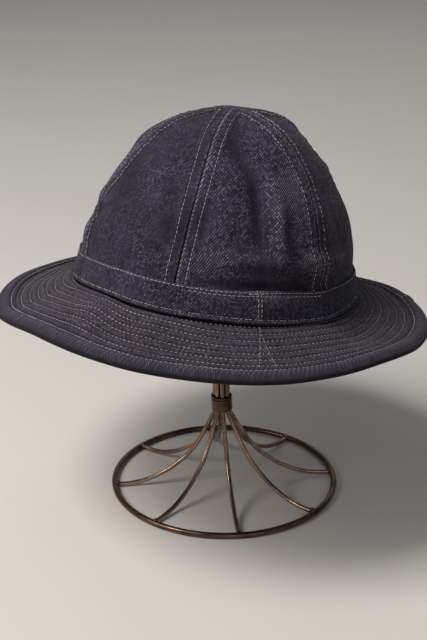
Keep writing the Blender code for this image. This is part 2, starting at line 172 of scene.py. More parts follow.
# %% [markdown]
# ## The hat's shape as a few tables
#
# A sewn hat is a surface that a pattern cutter describes with a handful of curves: the oval of
# the head, the crown's outline from the side, and how the brim falls. Such curves are written
# here as short tables, whose lengths are shares of the named sizes. A smooth
# curve is then read through each table. Tables much like these shape the measured solids. A
# few dents and waves differ here, and the folds and the brim's swells further on are extra,
# so the cloth lies within a few millimetres of the solids, in far more detail.
#
# The reading is done with numpy on whole grids of points at once. That keeps a hat of several
# hundred thousand points as quick to make as one of a hundred.

# %% Sizes of the hat
MOUTH_LENGTH, MOUTH_WIDTH = 188.0 * MM, 180.0 * MM    # the oval mouth, over its cloth
CROWN_HEIGHT = 112.0 * MM
CROWN_CLOTH = 1.5 * MM
CROWN_TIP = 0.25 * MM                                 # the gores all but meet at the top
PANELS, FIRST_SEAM = 6, -14.0
BAND_HEIGHT, BAND_CLOTH, ROLL_THICKNESS = 17.8 * MM, 1.3 * MM, 2.6 * MM
BRIM_REACH, BRIM_DROP, BRIM_THICKNESS = 45.0 * MM, 18.5 * MM, 2.4 * MM
BINDING_WIDTH = 11.0 * MM
HAT_ROLL, HAT_TIP = 4.8, -7.0                         # degrees: right side down, front up
TOP_LEAN = 2.0 * MM                                   # the top slumps a little to the right
GAP = 0.3 * MM                                        # between pieces that touch
DENTS_FROM, DENTS_TO = 0.3, 0.2                       # where dents fade: low down, and at the top
SLOPE_STEP = 0.002


def table(columns, *rows):
    """Rows of numbers as named columns."""
    return dict(zip(columns.split(), np.array(rows, float).T))


CROWN_SECTION = table(
    "up out",
    (-0.04, 1.006), (0.00, 1.000), (0.14, 0.962), (0.28, 0.934),
    (0.42, 0.887), (0.55, 0.812), (0.67, 0.715), (0.78, 0.603),
    (0.87, 0.496), (0.94, 0.350), (0.985, 0.150), (1.00, 0.000),
)
CROWN_DENTS = table(                 # positive is pushed in
    "azimuth up depth wide tall",
    (13, 0.50, 0.026, 8, 0.24),
    (28, 0.48, -0.018, 8, 0.20),
    (12, 0.86, 0.018, 16, 0.10),
    (10, 0.24, 0.014, 22, 0.05),
    (-4, 0.42, -0.010, 8, 0.20),
    (-45, 0.52, 0.016, 13, 0.12),
    (-62, 0.30, -0.012, 14, 0.10),
    (-88, 0.42, 0.026, 14, 0.12),
    (-95, 0.24, -0.014, 18, 0.09),
    (70, 0.60, 0.012, 14, 0.20),
    (95, 0.40, -0.016, 22, 0.22),
    (140, 0.50, 0.024, 15, 0.22),
    (185, 0.35, 0.016, 20, 0.14),
    (215, 0.60, -0.012, 16, 0.20),
    (240, 0.40, 0.018, 15, 0.16),
    (106, 0.94, -0.024, 24, 0.050),
    (96, 0.70, -0.013, 20, 0.070),
    (-97, 0.79, -0.020, 22, 0.070),
    (-95, 0.45, -0.020, 16, 0.055),
    (-118, 0.965, 0.011, 18, 0.025),
)
RIM_WAVES = table(
    "azimuth rise reach drop",
    (-165, 0.000, 1.00, 0.66), (-135, -0.005, 1.00, 0.78), (-105, -0.004, 1.00, 0.98),
    (-75, 0.006, 1.04, 1.06), (-45, 0.012, 1.00, 0.86), (-15, 0.004, 1.00, 1.04),
    (15, -0.006, 1.00, 0.99), (45, -0.010, 1.00, 0.65), (75, -0.005, 1.03, 0.62),
    (105, 0.002, 1.04, 0.68), (135, 0.010, 1.00, 0.82), (165, 0.010, 1.00, 0.70),
)
BRIM_SECTION = table(
    "out down",
    (0.00, 0.00), (0.12, 0.17), (0.30, 0.38), (0.50, 0.59), (0.70, 0.77), (1.00, 1.00),
)


# %% Smooth curves through the tables
def curve_through(knots, values):
    """A smooth curve through points, which can be read at one place or at many."""
    knots, values = np.asarray(knots, float), np.asarray(values, float)
    last = len(knots) - 1
    before = np.maximum(np.arange(last + 1) - 1, 0)
    after = np.minimum(np.arange(last + 1) + 1, last)
    slopes = (values[after] - values[before]) / (knots[after] - knots[before])

    def read(at):
        at = np.asarray(at, float)
        left = np.clip(np.searchsorted(knots, at, side="right") - 1, 0, last - 1)
        span = knots[left + 1] - knots[left]
        t = (at - knots[left]) / span
        rise = values[left + 1] - values[left]
        start, end = slopes[left] * span, slopes[left + 1] * span
        return values[left] + t * (start + t * (3 * rise - 2 * start - end + t * (start + end - 2 * rise)))

    return read


def ring_curve(azimuths, values):
    """The same for a table that closes on itself after a full turn."""
    read = curve_through(np.concatenate([azimuths - 360, azimuths, azimuths + 360]), np.tile(values, 3))

    def read_round(azimuth):
        return read((azimuth - azimuths[0]) % 360 + azimuths[0])

    return read_round


section_rows = np.linspace(0, 1, len(CROWN_SECTION["up"]))
section_up = curve_through(section_rows, CROWN_SECTION["up"])
section_out = curve_through(section_rows, CROWN_SECTION["out"])
rim_rise = ring_curve(RIM_WAVES["azimuth"], RIM_WAVES["rise"])
rim_reach = ring_curve(RIM_WAVES["azimuth"], RIM_WAVES["reach"])
rim_drop = ring_curve(RIM_WAVES["azimuth"], RIM_WAVES["drop"])
brim_fall = curve_through(BRIM_SECTION["out"], BRIM_SECTION["down"])


def section_share(up):
    """Where on the crown's section a share of its height is reached."""
    fine = np.linspace(0, 1, 4001)
    return np.interp(up, section_up(fine), fine)


def ease(t):
    """0 below 0, 1 above 1, and a soft step between."""
    t = np.clip(t, 0, 1)
    return t * t * (3 - 2 * t)


def bump(distance, width):
    """A soft hump of height 1."""
    return np.exp(-(distance / width) ** 2)


def turn_from(azimuth, where):
    """Degrees from a place round the hat, the short way."""
    return (azimuth - where + 180) % 360 - 180


def spots(rows, azimuth, across):
    """Soft oval spots, added up. A row holds a place, a height and the reach both ways."""
    total = 0
    for where, at, height, wide, deep in zip(*rows.values()):
        total = total + height * bump(turn_from(azimuth, where), wide) * bump(across - at, deep)
    return total


# %% The crown as one formula
def mouth_radius(azimuth):
    """Radius of the oval mouth."""
    angle = np.radians(azimuth)
    length, width = MOUTH_LENGTH / 2, MOUTH_WIDTH / 2
    return length * width / np.hypot(width * np.cos(angle), length * np.sin(angle))


def crown_radius(azimuth, share):
    """Distance of the plain crown from its axis."""
    return CROWN_TIP + (mouth_radius(azimuth) - CROWN_TIP) * section_out(share)


def pointing(azimuth, radius, height):
    """Points in the direction of an azimuth: 0 is towards the viewer, 90 to the right."""
    angle = np.radians(azimuth)
    return np.stack(np.broadcast_arrays(radius * np.sin(angle), -radius * np.cos(angle), height), axis=-1)


def crown(azimuth, share, lift=0.0):
    """Points on the crown's outer face, moved out by a lift. Share runs from 0 low down to 1."""
    up, radius = section_up(share), crown_radius(azimuth, share)
    low, high = np.maximum(share - SLOPE_STEP, 0), np.minimum(share + SLOPE_STEP, 1)
    run = crown_radius(azimuth, high) - crown_radius(azimuth, low)
    climb = CROWN_HEIGHT * (section_up(high) - section_up(low))
    steepness = np.hypot(run, climb)
    fade = np.clip(up / DENTS_FROM, 0, 1)
    calm = np.minimum(radius / (DENTS_TO * mouth_radius(azimuth)), 1)
    lift = lift - spots(CROWN_DENTS, azimuth, up) * CROWN_HEIGHT * fade * calm
    above = np.maximum(up, 0)
    height = up * CROWN_HEIGHT + rim_rise(azimuth) * CROWN_HEIGHT * (1 - above) ** 2 - lift * run / steepness
    points = pointing(azimuth, np.maximum(radius + lift * climb / steepness, CROWN_TIP / 2), height)
    points[..., 0] += TOP_LEAN * above ** 2
    return points


print("crown from", crown(0.0, 0.0).round(4), "to", crown(0.0, 1.0).round(4))

# %% [markdown]
# ## Where the hat sits
#
# The tables describe the hat level, round its own axis. On the stand it lies tipped and
# rolled, and how high it sits was settled by the measured model. Rather than repeat that
# place as numbers, the plain band is computed once, tipped in the same way, and moved until
# the middle of its box meets the middle of the measured band's box.


# %% Tip the hat and find its place
def box_middle(points):
    """The middle of the box round some points."""
    flat = points.reshape(-1, 3)
    return (flat.min(0) + flat.max(0)) / 2


hat_turn = np.array(Euler((math.radians(HAT_TIP), math.radians(HAT_ROLL), 0.0), "YXZ").to_matrix())
ring_azimuths = np.linspace(-180, 180, 361)[:, None]
band_rows = section_share(np.array([GAP, BAND_HEIGHT / 2, BAND_HEIGHT]) / CROWN_HEIGHT)[None, :]
plain_band = crown(ring_azimuths, band_rows, GAP + np.array([[ROLL_THICKNESS * 0.7, BAND_CLOTH, BAND_CLOTH]]))
hat_place = (np.array(band_low) + np.array(band_high)) / 2 - box_middle(plain_band @ hat_turn.T)


def seated(points):
    """Points of the level hat, moved to where the hat sits on the stand."""
    return points @ hat_turn.T + hat_place


print("the mouth's middle is at", (hat_place * 1000).round(2), "mm")

# %% [markdown]
# ## From a grid of points to a piece of cloth
# Every cloth piece here is a tube in disguise. A hoop such as the band has a closed outline
# that is carried once round the head, and a gore of the crown has a flat closed outline, front
# face and back face, that is carried from the mouth to the top. So one function makes them
# all: it takes a grid of points, section after section, and joins it with quads. It also
# stores a flat map in metres (a UV map), so that a woven pattern follows the cloth, and a
# number at each point that holds how rubbed the cloth is there, together with the painted
# shade and painted light that it gets.


# %% Closed meshes
def quads(count, sides, steps):
    """Quads between sections of equal outlines: their corners by section, by place in it, and by point."""
    i, j = np.meshgrid(np.arange(steps), np.arange(sides), indexing="ij")
    corners = np.array([(i, j), (i + 1, j), (i + 1, j + 1), (i, j + 1)])
    rows, columns = corners.transpose(1, 2, 3, 0).reshape(2, -1, 4)
    return rows, columns, rows % count * sides + columns % sides


def signed_volume(mesh):
    """The volume inside a closed mesh, negative where its faces point inwards."""
    mesh.calc_loop_triangles()
    points = np.empty(len(mesh.vertices) * 3)
    mesh.vertices.foreach_get("co", points)
    corners = np.empty(len(mesh.loop_triangles) * 3, int)
    mesh.loop_triangles.foreach_get("vertices", corners)
    a, b, c = points.reshape(-1, 3)[corners.reshape(-1, 3)].transpose(1, 0, 2)
    return float(np.einsum("ij,ij->i", a, np.cross(b, c)).sum() / 6)


def finish_mesh(name, mesh, material):
    """Turns a closed mesh's faces outwards, shades it smooth and puts it in the scene."""
    if signed_volume(mesh) < 0:
        mesh.flip_normals()
    mesh.shade_smooth()
    mesh.materials.append(material)
    print(f"{name}: {len(mesh.polygons) * 2} triangles, {signed_volume(mesh) * 1e6:.1f} cubic cm")
    return link_object(name, mesh)


# %% One function for all cloth
def cloth(name, sections, flat, wear_and_shade, material, closed):
    """A closed wall over sections of equal outlines, either joined in a hoop or capped at its ends.

    sections has the shape (sections, outline, 3), flat (sections, outline + 1, 2) or, on a
    hoop, (sections + 1, outline + 1, 2), and wear (sections, outline).
    """
    count, sides = sections.shape[:2]
    rows, columns, faces = quads(count, sides, count if closed else count - 1)
    places = flat[rows, columns]
    if not closed:
        # Each end is shut by quads between the front face and the back face
        half = sides // 2
        j = np.arange(half - 1)
        start = np.stack([j, j + 1, sides - 2 - j, sides - 1 - j], axis=-1)
        end = start[:, ::-1] + (count - 1) * sides
        faces = np.concatenate([faces, start, end])
        caps = np.concatenate([flat[0][start], flat[-1][start[:, ::-1]]])
        places = np.concatenate([places, caps])
    mesh = bpy.data.meshes.new(name)
    mesh.from_pydata(seated(sections).reshape(-1, 3).tolist(), [], faces.tolist())
    mesh.uv_layers.new(name="cloth").data.foreach_set("uv", places.astype(np.float32).ravel())
    # This number holds rubbed wear together with painted light and painted shade.
    wear_and_shade_layer = mesh.attributes.new("wear_and_shade", "FLOAT", "POINT")
    wear_and_shade_layer.data.foreach_set("value", wear_and_shade.astype(np.float32).ravel())
    mesh.update()
    return finish_mesh(name, mesh, material)


def finish_piece(piece, slot, *nodes):
    """A finished piece moves with the body and stands for its solids. Its slot is not used."""
    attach(piece, "root")
    if nodes:
        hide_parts(*nodes)


def softness(points, size, seed=0):
    """Smooth random lumps of a size, about -1 to 1, at each point."""
    shifted = points.reshape(-1, 3) / size + seed * 13.7
    return np.array([noise.noise(spot) for spot in shifted.tolist()]).reshape(points.shape[:-1])


# %% [markdown]
# ## Denim
#
# Denim is a twill: dark warp threads pass over two or three pale weft threads at a time, and
# each row is shifted by one, which draws fine diagonal lines. Up close the eye sees those
# lines, uneven threads called slubs, pale flecks where the weft shows through, and broad
# clouds of slightly different blue. All four pieces of the hat are cut from it, so the effect
# is a node group with named inputs, and each material sets its own turn, pitch and colours.
#
# The group works on the cloth's own flat map, multiplied by a thousand, so its numbers are
# millimetres on the real cloth. It puts out colours and values only, and its wear input also
# brings each piece's painted light and painted shade into the colour. The shader, with its
# soft fibre sheen, stays in each material.


# %% Helpers for node trees
def maths(tree, operation, *values, clamp=False):
    """A Math node's result. The values are numbers or sockets."""
    node = add(tree, "ShaderNodeMath", dict(enumerate(values)), operation=operation, use_clamp=clamp)
    return node.outputs[0]


def scaled(tree, vector, scale):
    """A vector, or a colour, times a number."""
    return add(tree, "ShaderNodeVectorMath", {0: vector, "Scale": scale}, operation="SCALE").outputs[0]


def wave(tree, turns, swing, middle):
    """A cosine wave that repeats at each whole number."""
    angle = maths(tree, "MULTIPLY", turns, 2 * math.pi)
    return maths(tree, "MULTIPLY_ADD", maths(tree, "COSINE", angle), swing, middle)


def ranged(tree, value, low, high, to_low=0.0, to_high=1.0):
    """A value taken from one range to another, and kept inside it."""
    places = {0: value, 1: low, 2: high, 3: to_low, 4: to_high}
    return add(tree, "ShaderNodeMapRange", places).outputs[0]


def noise_value(tree, where, size, detail=2.0, rough=0.5):
    """Smooth random values in lumps of a size, in the units of the coordinates."""
    values = {"Vector": where, "Scale": 1 / size, "Detail": detail, "Roughness": rough}
    return add(tree, "ShaderNodeTexNoise", values).outputs["Fac"]


def stretched(tree, where, x, y):
    """Coordinates divided by a size along each axis."""
    scale = {"Vector": where, "Scale": (1 / x, 1 / y, 1.0)}
    return add(tree, "ShaderNodeMapping", scale).outputs[0]


def new_group(name, kind, inputs, outputs):
    """A node group with named sockets. Returns its tree, its input sockets and its output node."""
    tree = bpy.data.node_groups.new(name, kind)
    for label, (socket, value) in inputs.items():
        made = tree.interface.new_socket(label, in_out="INPUT", socket_type=f"NodeSocket{socket}")
        if value is not None:
            made.default_value = value
    for label, socket in outputs.items():
        tree.interface.new_socket(label, in_out="OUTPUT", socket_type=f"NodeSocket{socket}")
    return tree, tree.nodes.new("NodeGroupInput").outputs, tree.nodes.new("NodeGroupOutput")


# %% The denim group
def denim_group():
    """Twill lines, slubs, flecks and clouds, with the painted light and shade that the wear input brings."""
    tree, given, result = new_group(
        "denim weave",
        "ShaderNodeTree",
        {
            "Vector": ("Vector", (0, 0, 0)),
            "Wear and shade": ("Float", 0.0),
            "Wale": ("Float", 1.1),
            "Bead": ("Float", 1.15),
            "Turn": ("Float", 0.9),
            "Dark": ("Color", (0.01, 0.01, 0.02, 1)),
            "Light": ("Color", (0.08, 0.08, 0.12, 1)),
            "Fleck": ("Color", (0.3, 0.3, 0.33, 1)),
            "Flecks": ("Float", 0.6),
        },
        {"Color": "Color", "Roughness": "Float", "Height": "Float"},
    )
    flat = scaled(tree, given["Vector"], 1000.0)
    drift = add(tree, "ShaderNodeTexNoise", {"Vector": flat, "Scale": 0.11, "Detail": 2.0}).outputs["Color"]
    drift = add(tree, "ShaderNodeVectorMath", {0: drift, 1: (0.5, 0.5, 0.5)}, operation="SUBTRACT").outputs[0]
    drifted = {0: flat, 1: scaled(tree, drift, 1.6)}
    yarns = add(tree, "ShaderNodeVectorMath", drifted, operation="ADD").outputs[0]

    # Twill lines, each cut into short beads where the threads cross, and each bead with its own tone
    turn = {"Vector": yarns, "Angle": given["Turn"]}
    turned = add(tree, "ShaderNodeVectorRotate", turn, rotation_type="Z_AXIS")
    parts = add(tree, "ShaderNodeSeparateXYZ", {0: turned.outputs[0]}).outputs
    across = maths(tree, "DIVIDE", parts[0], given["Wale"])
    row = maths(tree, "FLOOR", across)
    along = maths(tree, "DIVIDE", parts[1], maths(tree, "MULTIPLY", given["Wale"], given["Bead"]))
    along = maths(tree, "MULTIPLY_ADD", row, 0.37, along)
    cell = add(tree, "ShaderNodeCombineXYZ", {0: row, 1: maths(tree, "FLOOR", along)}).outputs[0]
    chance = add(tree, "ShaderNodeTexWhiteNoise", {"Vector": cell}, noise_dimensions="2D").outputs["Value"]
    weave = maths(tree, "MULTIPLY", wave(tree, across, -0.5, 0.5), wave(tree, along, -0.35, 0.65))
    # Negative wear is mostly painted shade, with some darker tone of the cloth: it darkens the colour and
    # calms the grain.
    shade_and_dark_tone = maths(tree, "MINIMUM", given["Wear and shade"], 0.0)
    grain_contrast = maths(tree, "MAXIMUM", maths(tree, "MULTIPLY_ADD", shade_and_dark_tone, 1.2, 0.86), 0.25)
    grain = maths(tree, "MULTIPLY", weave, maths(tree, "MULTIPLY_ADD", chance, 1.1, 0.15))
    grain = maths(tree, "ADD", 0.2, maths(tree, "MULTIPLY", grain_contrast, maths(tree, "SUBTRACT", grain, 0.2)))

    # Slubs run along the warp, and a few across it
    warp = noise_value(tree, stretched(tree, flat, 0.9, 16.0), 1.0)
    weft = noise_value(tree, stretched(tree, flat, 14.0, 0.9), 1.0)
    slub = maths(tree, "MULTIPLY_ADD", weft, 0.35, maths(tree, "MULTIPLY", warp, 0.65))

    # Flecks are the palest beads, thicker in some places than in others
    patch = ranged(tree, noise_value(tree, flat, 11.0, 3.0), 0.36, 0.66, 0.1, 1.0)
    fleck = maths(tree, "MULTIPLY", maths(tree, "MULTIPLY", ranged(tree, chance, 0.55, 0.95), weave), patch)

    # Broad clouds, and everything together
    cloud = ranged(tree, noise_value(tree, flat, 26.0, 3.0), 0.3, 0.7, -0.10, 0.12)
    slubs = ranged(tree, slub, 0.34, 0.66, -0.10, 0.16)
    tone = maths(tree, "MULTIPLY_ADD", grain, 1.15, maths(tree, "ADD", slubs, cloud), clamp=True)
    colour = mixed(tree, tone, given["Dark"], given["Light"])
    # Positive wear is rubbed wear together with painted light on lit crests: it paints the weave's ridges
    # paler.
    paler_share = maths(tree, "MAXIMUM", given["Wear and shade"], 0.0)
    ridge = maths(tree, "MULTIPLY", paler_share, maths(tree, "POWER", weave, 1.5))
    fleck = maths(tree, "MULTIPLY", fleck, grain_contrast)
    ridge = maths(tree, "MULTIPLY", ridge, 0.8)
    pale = maths(tree, "MULTIPLY_ADD", fleck, given["Flecks"], ridge, clamp=True)
    shade = maths(tree, "MULTIPLY_ADD", shade_and_dark_tone, 0.7, 1.0, clamp=True)
    fill(tree, result, {
        "Color": scaled(tree, mixed(tree, pale, colour, given["Fleck"]), shade),
        "Roughness": maths(tree, "MULTIPLY_ADD", fleck, -0.12, 0.93),
        "Height": maths(tree, "MULTIPLY_ADD", slub, 0.5, weave),
    })
    return tree


denim_weave = denim_group()


# %% Denim materials
def plug_in(tree, shader, finish, strength, relief):
    """Gives a shader the colour, the roughness and the relief that a group puts out."""
    raised = {"Strength": strength, "Distance": relief, "Height": finish.outputs["Height"]}
    fill(tree, shader, {
        "Base Color": finish.outputs["Color"],
        "Roughness": finish.outputs["Roughness"],
        "Normal": add(tree, "ShaderNodeBump", raised).outputs[0],
    })


def denim(name, turn, wale, bead, dark, light, flecks, relief):
    """A denim material. Turn is the twill's direction in degrees, wale its pitch in millimetres."""
    made, tree, shader = principled(
        name, Specular_IOR_Level=0.20, Sheen_Weight=0.06, Sheen_Roughness=0.45, Sheen_Tint=(0.8, 0.8, 0.9, 1))
    where = add(tree, "ShaderNodeUVMap", uv_map="cloth").outputs[0]
    wear_and_shade = add(tree, "ShaderNodeAttribute", attribute_name="wear_and_shade").outputs["Fac"]
    values = {"Vector": where, "Wear and shade": wear_and_shade, "Wale": wale, "Bead": bead, "Turn": math.radians(turn)}
    values |= {"Dark": (*dark, 1), "Light": (*light, 1), "Fleck": (*CHALK, 1), "Flecks": flecks}
    plug_in(tree, shader, add(tree, "ShaderNodeGroup", values, node_tree=denim_weave), 1.0, relief)
    return made


CHALK = (0.42, 0.40, 0.47)                                      # the flecks on every piece
# The dark colours are indigo; their warm lean, low in green, is painted warm bounce light in the shade.
INDIGO, SMOKE, DUSK = (0.0072, 0.0051, 0.0086), (0.092, 0.082, 0.136), (0.087, 0.078, 0.130)
PLUM, HEATHER = (0.0118, 0.0085, 0.0122), (0.087, 0.070, 0.106)         # the brim leans to purple
SLATE, HAZE = (0.0180, 0.0150, 0.0240), (0.051, 0.046, 0.073)           # the binding has little contrast

# Each row: turn, wale, the beads' length in wales, dark, light, how many flecks, and relief
crown_denim = denim("crown_denim", 38, 1.30, 1.15, INDIGO, SMOKE, 0.46, 0.05 * MM)
band_denim = denim("band_denim", 42, 1.27, 1.15, INDIGO, DUSK, 0.27, 0.05 * MM)
brim_denim = denim("brim_denim", 30, 1.22, 1.15, PLUM, HEATHER, 0.24, 0.05 * MM)
binding_denim = denim("binding_denim", 3, 1.10, 5.0, SLATE, HAZE, 0.08, 0.04 * MM)
print("denim:", [m.name for m in (crown_denim, band_denim, brim_denim, binding_denim)])

# %% [markdown]
# ## The crown's six gores
#
# The crown is sewn from six gores. At each seam the spare cloth inside is pressed open and
# held by a row of stitches on either side, so the seam lies in a narrow ditch between two
# low, raised strips. Sculpting by hand would work, but a seam is so regular that a formula
# of the distance from it looks truer: a step where the spare cloth ends, a ditch at the seam,
# a rolled fold beside it, and a pull under each row of stitches. The ditch and the pulls get
# painted shade. Small puckers along the rows and soft lumps all over keep the cloth from
# looking pressed in a mould. Two tables add what no formula knows: the folds that this crown
# has fallen into, and the places where light and shade are painted on its cloth. The folds
# are painted paler on their crests and darker in their hollows as well.

# %% Relief of the crown
SEAM_WIDTH, SEAM_RAISE, SEAM_STEP = 7.2 * MM, 0.8 * MM, 1.8 * MM
TOPSTITCH = 6.1 * MM            # from the seam to each row of stitches
GORE_TONES = (0.0, -0.05, 0.05, -0.1, 0.0, -0.34)      # how much paler or darker each gore is; the last, on the left, is darkened partly as painted shade against the lights on that side
DITCH_DEPTH, DITCH_WIDTH = 0.85 * MM, 0.42 * MM
FOLD_AT, FOLD_RISE, FOLD_WIDTH = 1.15 * MM, 0.16 * MM, 0.5 * MM
PULL_DEPTH, PULL_WIDTH = 0.36 * MM, 0.75 * MM
STITCH_PITCH = 2.85 * MM
PUCKER_DEPTH, PUCKER_LENGTH, PUCKER_REACH = 0.22 * MM, 8.0 * MM, 4.5 * MM
SOFT_LUMPS, FINE_LUMPS = (0.55 * MM, 26 * MM, 1), (0.22 * MM, 10 * MM, 2)      # height, size and seed
CALM_FOOT, CALM_LEAST, CALM_TIP = 0.12, 0.15, 20 * MM   # the relief fades near the foot and the top

SEAM_WANDER = table(            # degrees that each seam strays to the right, by height
    "up first second third fourth fifth sixth",
    (0.00, -2.5, -0.8, 1.0, -0.8, 0.6, 0.8),
    (0.18, -2.3, -1.0, 0.6, -0.6, 0.8, 0.4),
    (0.35, -1.0, -2.9, -0.8, 0.6, 1.2, -0.6),
    (0.49, -0.4, -1.6, -1.2, 1.0, 0.2, -0.8),
    (0.60, 0.0, 0.1, -0.6, 0.8, -0.8, 0.2),
    (0.75, 0.2, 1.0, 0.4, 0.2, -1.0, 0.8),
    (0.90, 0.0, -1.0, 0.8, -0.6, -0.4, 0.6),
    (1.00, 0.0, 0.0, 0.0, 0.0, 0.0, 0.0),
)
CROWN_FOLDS = table(            # narrow folds: place, direction, length, depth and width
    "azimuth up turn length depth width",
    (10, 0.76, 24, 46, 2.6, 4.2),
    (16, 0.50, 4, 50, 3.6, 4.0),
    (24.5, 0.47, -1, 48, -2.9, 3.4),
    (31, 0.36, 1, 36, 2.5, 4.0),
    (30, 0.300, 88, 96, -3.4, 5.5),
    (25, 0.172, 90, 98, 3.8, 4.6),
    (62, 0.22, 84, 40, 1.6, 5.0),
    (-7, 0.36, -12, 46, -1.0, 6.0),
    (-22, 0.45, 10, 22, 1.2, 4.5),
    (-27, 0.64, 30, 20, 0.9, 4.0),
    (-27, 0.52, 60, 18, -0.9, 4.5),
    (-56, 0.57, 78, 36, 1.2, 4.5),
    (-50, 0.68, 60, 40, -0.9, 7.0),
    (-66, 0.42, -52, 34, 1.2, 2.8),
    (-69, 0.46, -52, 34, -0.9, 3.5),
    (-39, 0.24, 8, 18, 1.3, 3.0),
    (-30, 0.27, 70, 26, -0.8, 5.0),
    (-58, 0.25, 80, 30, 0.7, 4.0),
    (62, 0.50, 6, 50, 0.8, 5.0),
    (118, 0.40, 15, 34, 1.1, 4.5),
    (126, 0.44, 8, 40, -1.0, 4.5),
    (150, 0.30, 75, 36, 1.2, 4.5),
    (200, 0.55, -15, 34, 1.1, 4.5),
    (214, 0.34, 70, 34, -1.0, 5.0),
    (232, 0.28, 65, 28, 0.9, 4.0),
    (258, 0.50, 10, 40, 1.1, 4.5),
)
CROWN_LIGHT_AND_SHADE = table(            # painted light and shade: where the cloth is painted paler or darker than the rest of its gore
    "azimuth up tone wide tall",
    (-10, 0.50, -0.95, 4.5, 0.12),
    (-16.5, 0.40, -0.45, 3.0, 0.16),
    (-4.5, 0.26, 0.35, 3.5, 0.05),
    (-24, 0.45, -0.45, 5.0, 0.06),
    (-60, 0.64, -0.40, 8.0, 0.14),
    (-25, 0.25, 0.25, 9.0, 0.08),
    (-31, 0.70, 0.22, 6.0, 0.06),
    (1, 0.905, -0.60, 7.0, 0.09),
    (13, 0.66, -0.30, 4.0, 0.16),
    (33, 0.59, 0.45, 4.0, 0.08),
    (26.5, 0.44, -0.65, 2.0, 0.13),
    (31.5, 0.42, 0.25, 2.5, 0.12),
    (29, 0.66, 0.35, 4.0, 0.07),
    (22.5, 0.325, -0.65, 5.0, 0.05),
    (23, 0.265, -0.45, 9.0, 0.04),
    (38, 0.68, 0.50, 4.0, 0.10),
    (47, 0.43, -0.75, 5.0, 0.13),
    (14, 0.290, -0.50, 6.0, 0.04),
    (11, 0.195, -0.55, 19.0, 0.035),
    (-75, 0.50, -0.35, 5.0, 0.09),
)


def crown_arc(share):
    """Length along the front of the crown from its foot to a share of its section."""
    fine = np.linspace(0, 1, 2001)
    steps = np.linalg.norm(np.diff(crown(0.0, fine), axis=0), axis=-1)
    return np.interp(share, fine, np.concatenate([[0], np.cumsum(steps)]))


def broad_relief(azimuth, share):
    """Soft lumps and narrow folds, which the crown, the band and the brim share."""
    up = section_up(share)
    points = crown(azimuth, share)
    lift = sum(height * softness(points, size, seed) for height, size, seed in (SOFT_LUMPS, FINE_LUMPS))
    arc, radius = crown_arc(share), crown_radius(azimuth, share)
    for where, at, turn, length, depth, width in zip(*CROWN_FOLDS.values()):
        x = np.radians(turn_from(azimuth, where)) * radius
        y = arc - crown_arc(section_share(at))
        slant = math.radians(turn)
        beside = x * math.cos(slant) + y * math.sin(slant)
        lengthwise = y * math.cos(slant) - x * math.sin(slant)
        lift = lift - depth * MM * bump(beside, width * MM) * bump(lengthwise, length * MM / 2)
    return lift * np.clip(up / CALM_FOOT, CALM_LEAST, 1) * np.minimum(radius / CALM_TIP, 1)


def seam_azimuth(seam, up):
    """Azimuth of a seam at a height."""
    wander = curve_through(SEAM_WANDER["up"], list(SEAM_WANDER.values())[1 + seam % PANELS])
    return FIRST_SEAM + 360.0 / PANELS * seam + wander(up)


def ditch_share(up):
    """How open a seam is: most above the band, and closed at the top."""
    return (0.4 + 0.6 * ease((0.5 - up) / 0.3)) * ease((1 - up) / 0.3)


def seam_relief(distance, arc, up):
    """Lift of the cloth at a distance from a seam, at a length up it."""
    raised = SEAM_RAISE * ease((SEAM_WIDTH + SEAM_STEP - distance) / SEAM_STEP)
    ditch = DITCH_DEPTH * bump(distance, DITCH_WIDTH) * ditch_share(up)
    fold = FOLD_RISE * bump(distance - FOLD_AT, FOLD_WIDTH)
    tug = 0.75 + 0.25 * np.cos(2 * np.pi * arc / STITCH_PITCH)
    pull = PULL_DEPTH * bump(distance - TOPSTITCH, PULL_WIDTH) * tug
    phase = 2 * np.pi * arc / PUCKER_LENGTH + 1.7 * np.sin(2 * np.pi * arc / (3.3 * PUCKER_LENGTH))
    pucker = PUCKER_DEPTH * np.sin(phase) * bump(distance - TOPSTITCH, PUCKER_REACH)
    return raised - ditch + fold - pull + pucker


def seam_wear_and_shade(distance, right_side, up):
    """Rubbed on the fold beside a seam, most on its right, with painted shade in the ditch and under the
    stitches.
    """
    paler_share = np.where(right_side, 1.2, 0.45) * bump(distance - FOLD_AT, FOLD_WIDTH)
    dark = 1.5 * bump(distance, DITCH_WIDTH) * ditch_share(up) + 0.4 * bump(distance - TOPSTITCH, PULL_WIDTH)
    return paler_share - dark + 0.2 * bump(distance - SEAM_WIDTH, 0.6 * MM)


# %% Build the gores
GORE_ROWS = 190
GORE_MIDDLE = 27
EDGE_COLUMNS = np.array([
    0.12, 0.3, 0.5, 0.75, 1.05, 1.4, 1.9, 2.6, 3.5, 4.5, 5.1, 5.6, 6.1, 6.6, 7.2, 7.9, 8.7, 9.7]) * MM
NARROW = 0.8                    # most of a half gore that those columns take near the top
FOLD_WEAR_AND_SHADE = 0.14                # how much paler a crest is, as rubbed wear and painted light, and darker a hollow, as painted shade, per millimetre


def gore_span(panel, share):
    """A gore's middle azimuth, the crown's radius there, and half the gore's width."""
    up = section_up(share)
    left, right = seam_azimuth(panel, up), seam_azimuth(panel + 1, up)
    middle = (left + right) / 2
    radius = crown_radius(middle, share)
    return middle, radius, np.radians((right - left) / 2) * radius


def even_shares(low, rows):
    """Shares of the crown's section, evenly spaced along the cloth."""
    fine = np.linspace(low, 1, 2001)
    arc = crown_arc(fine)
    return np.interp(np.linspace(arc[0], arc[-1], rows), arc, fine)


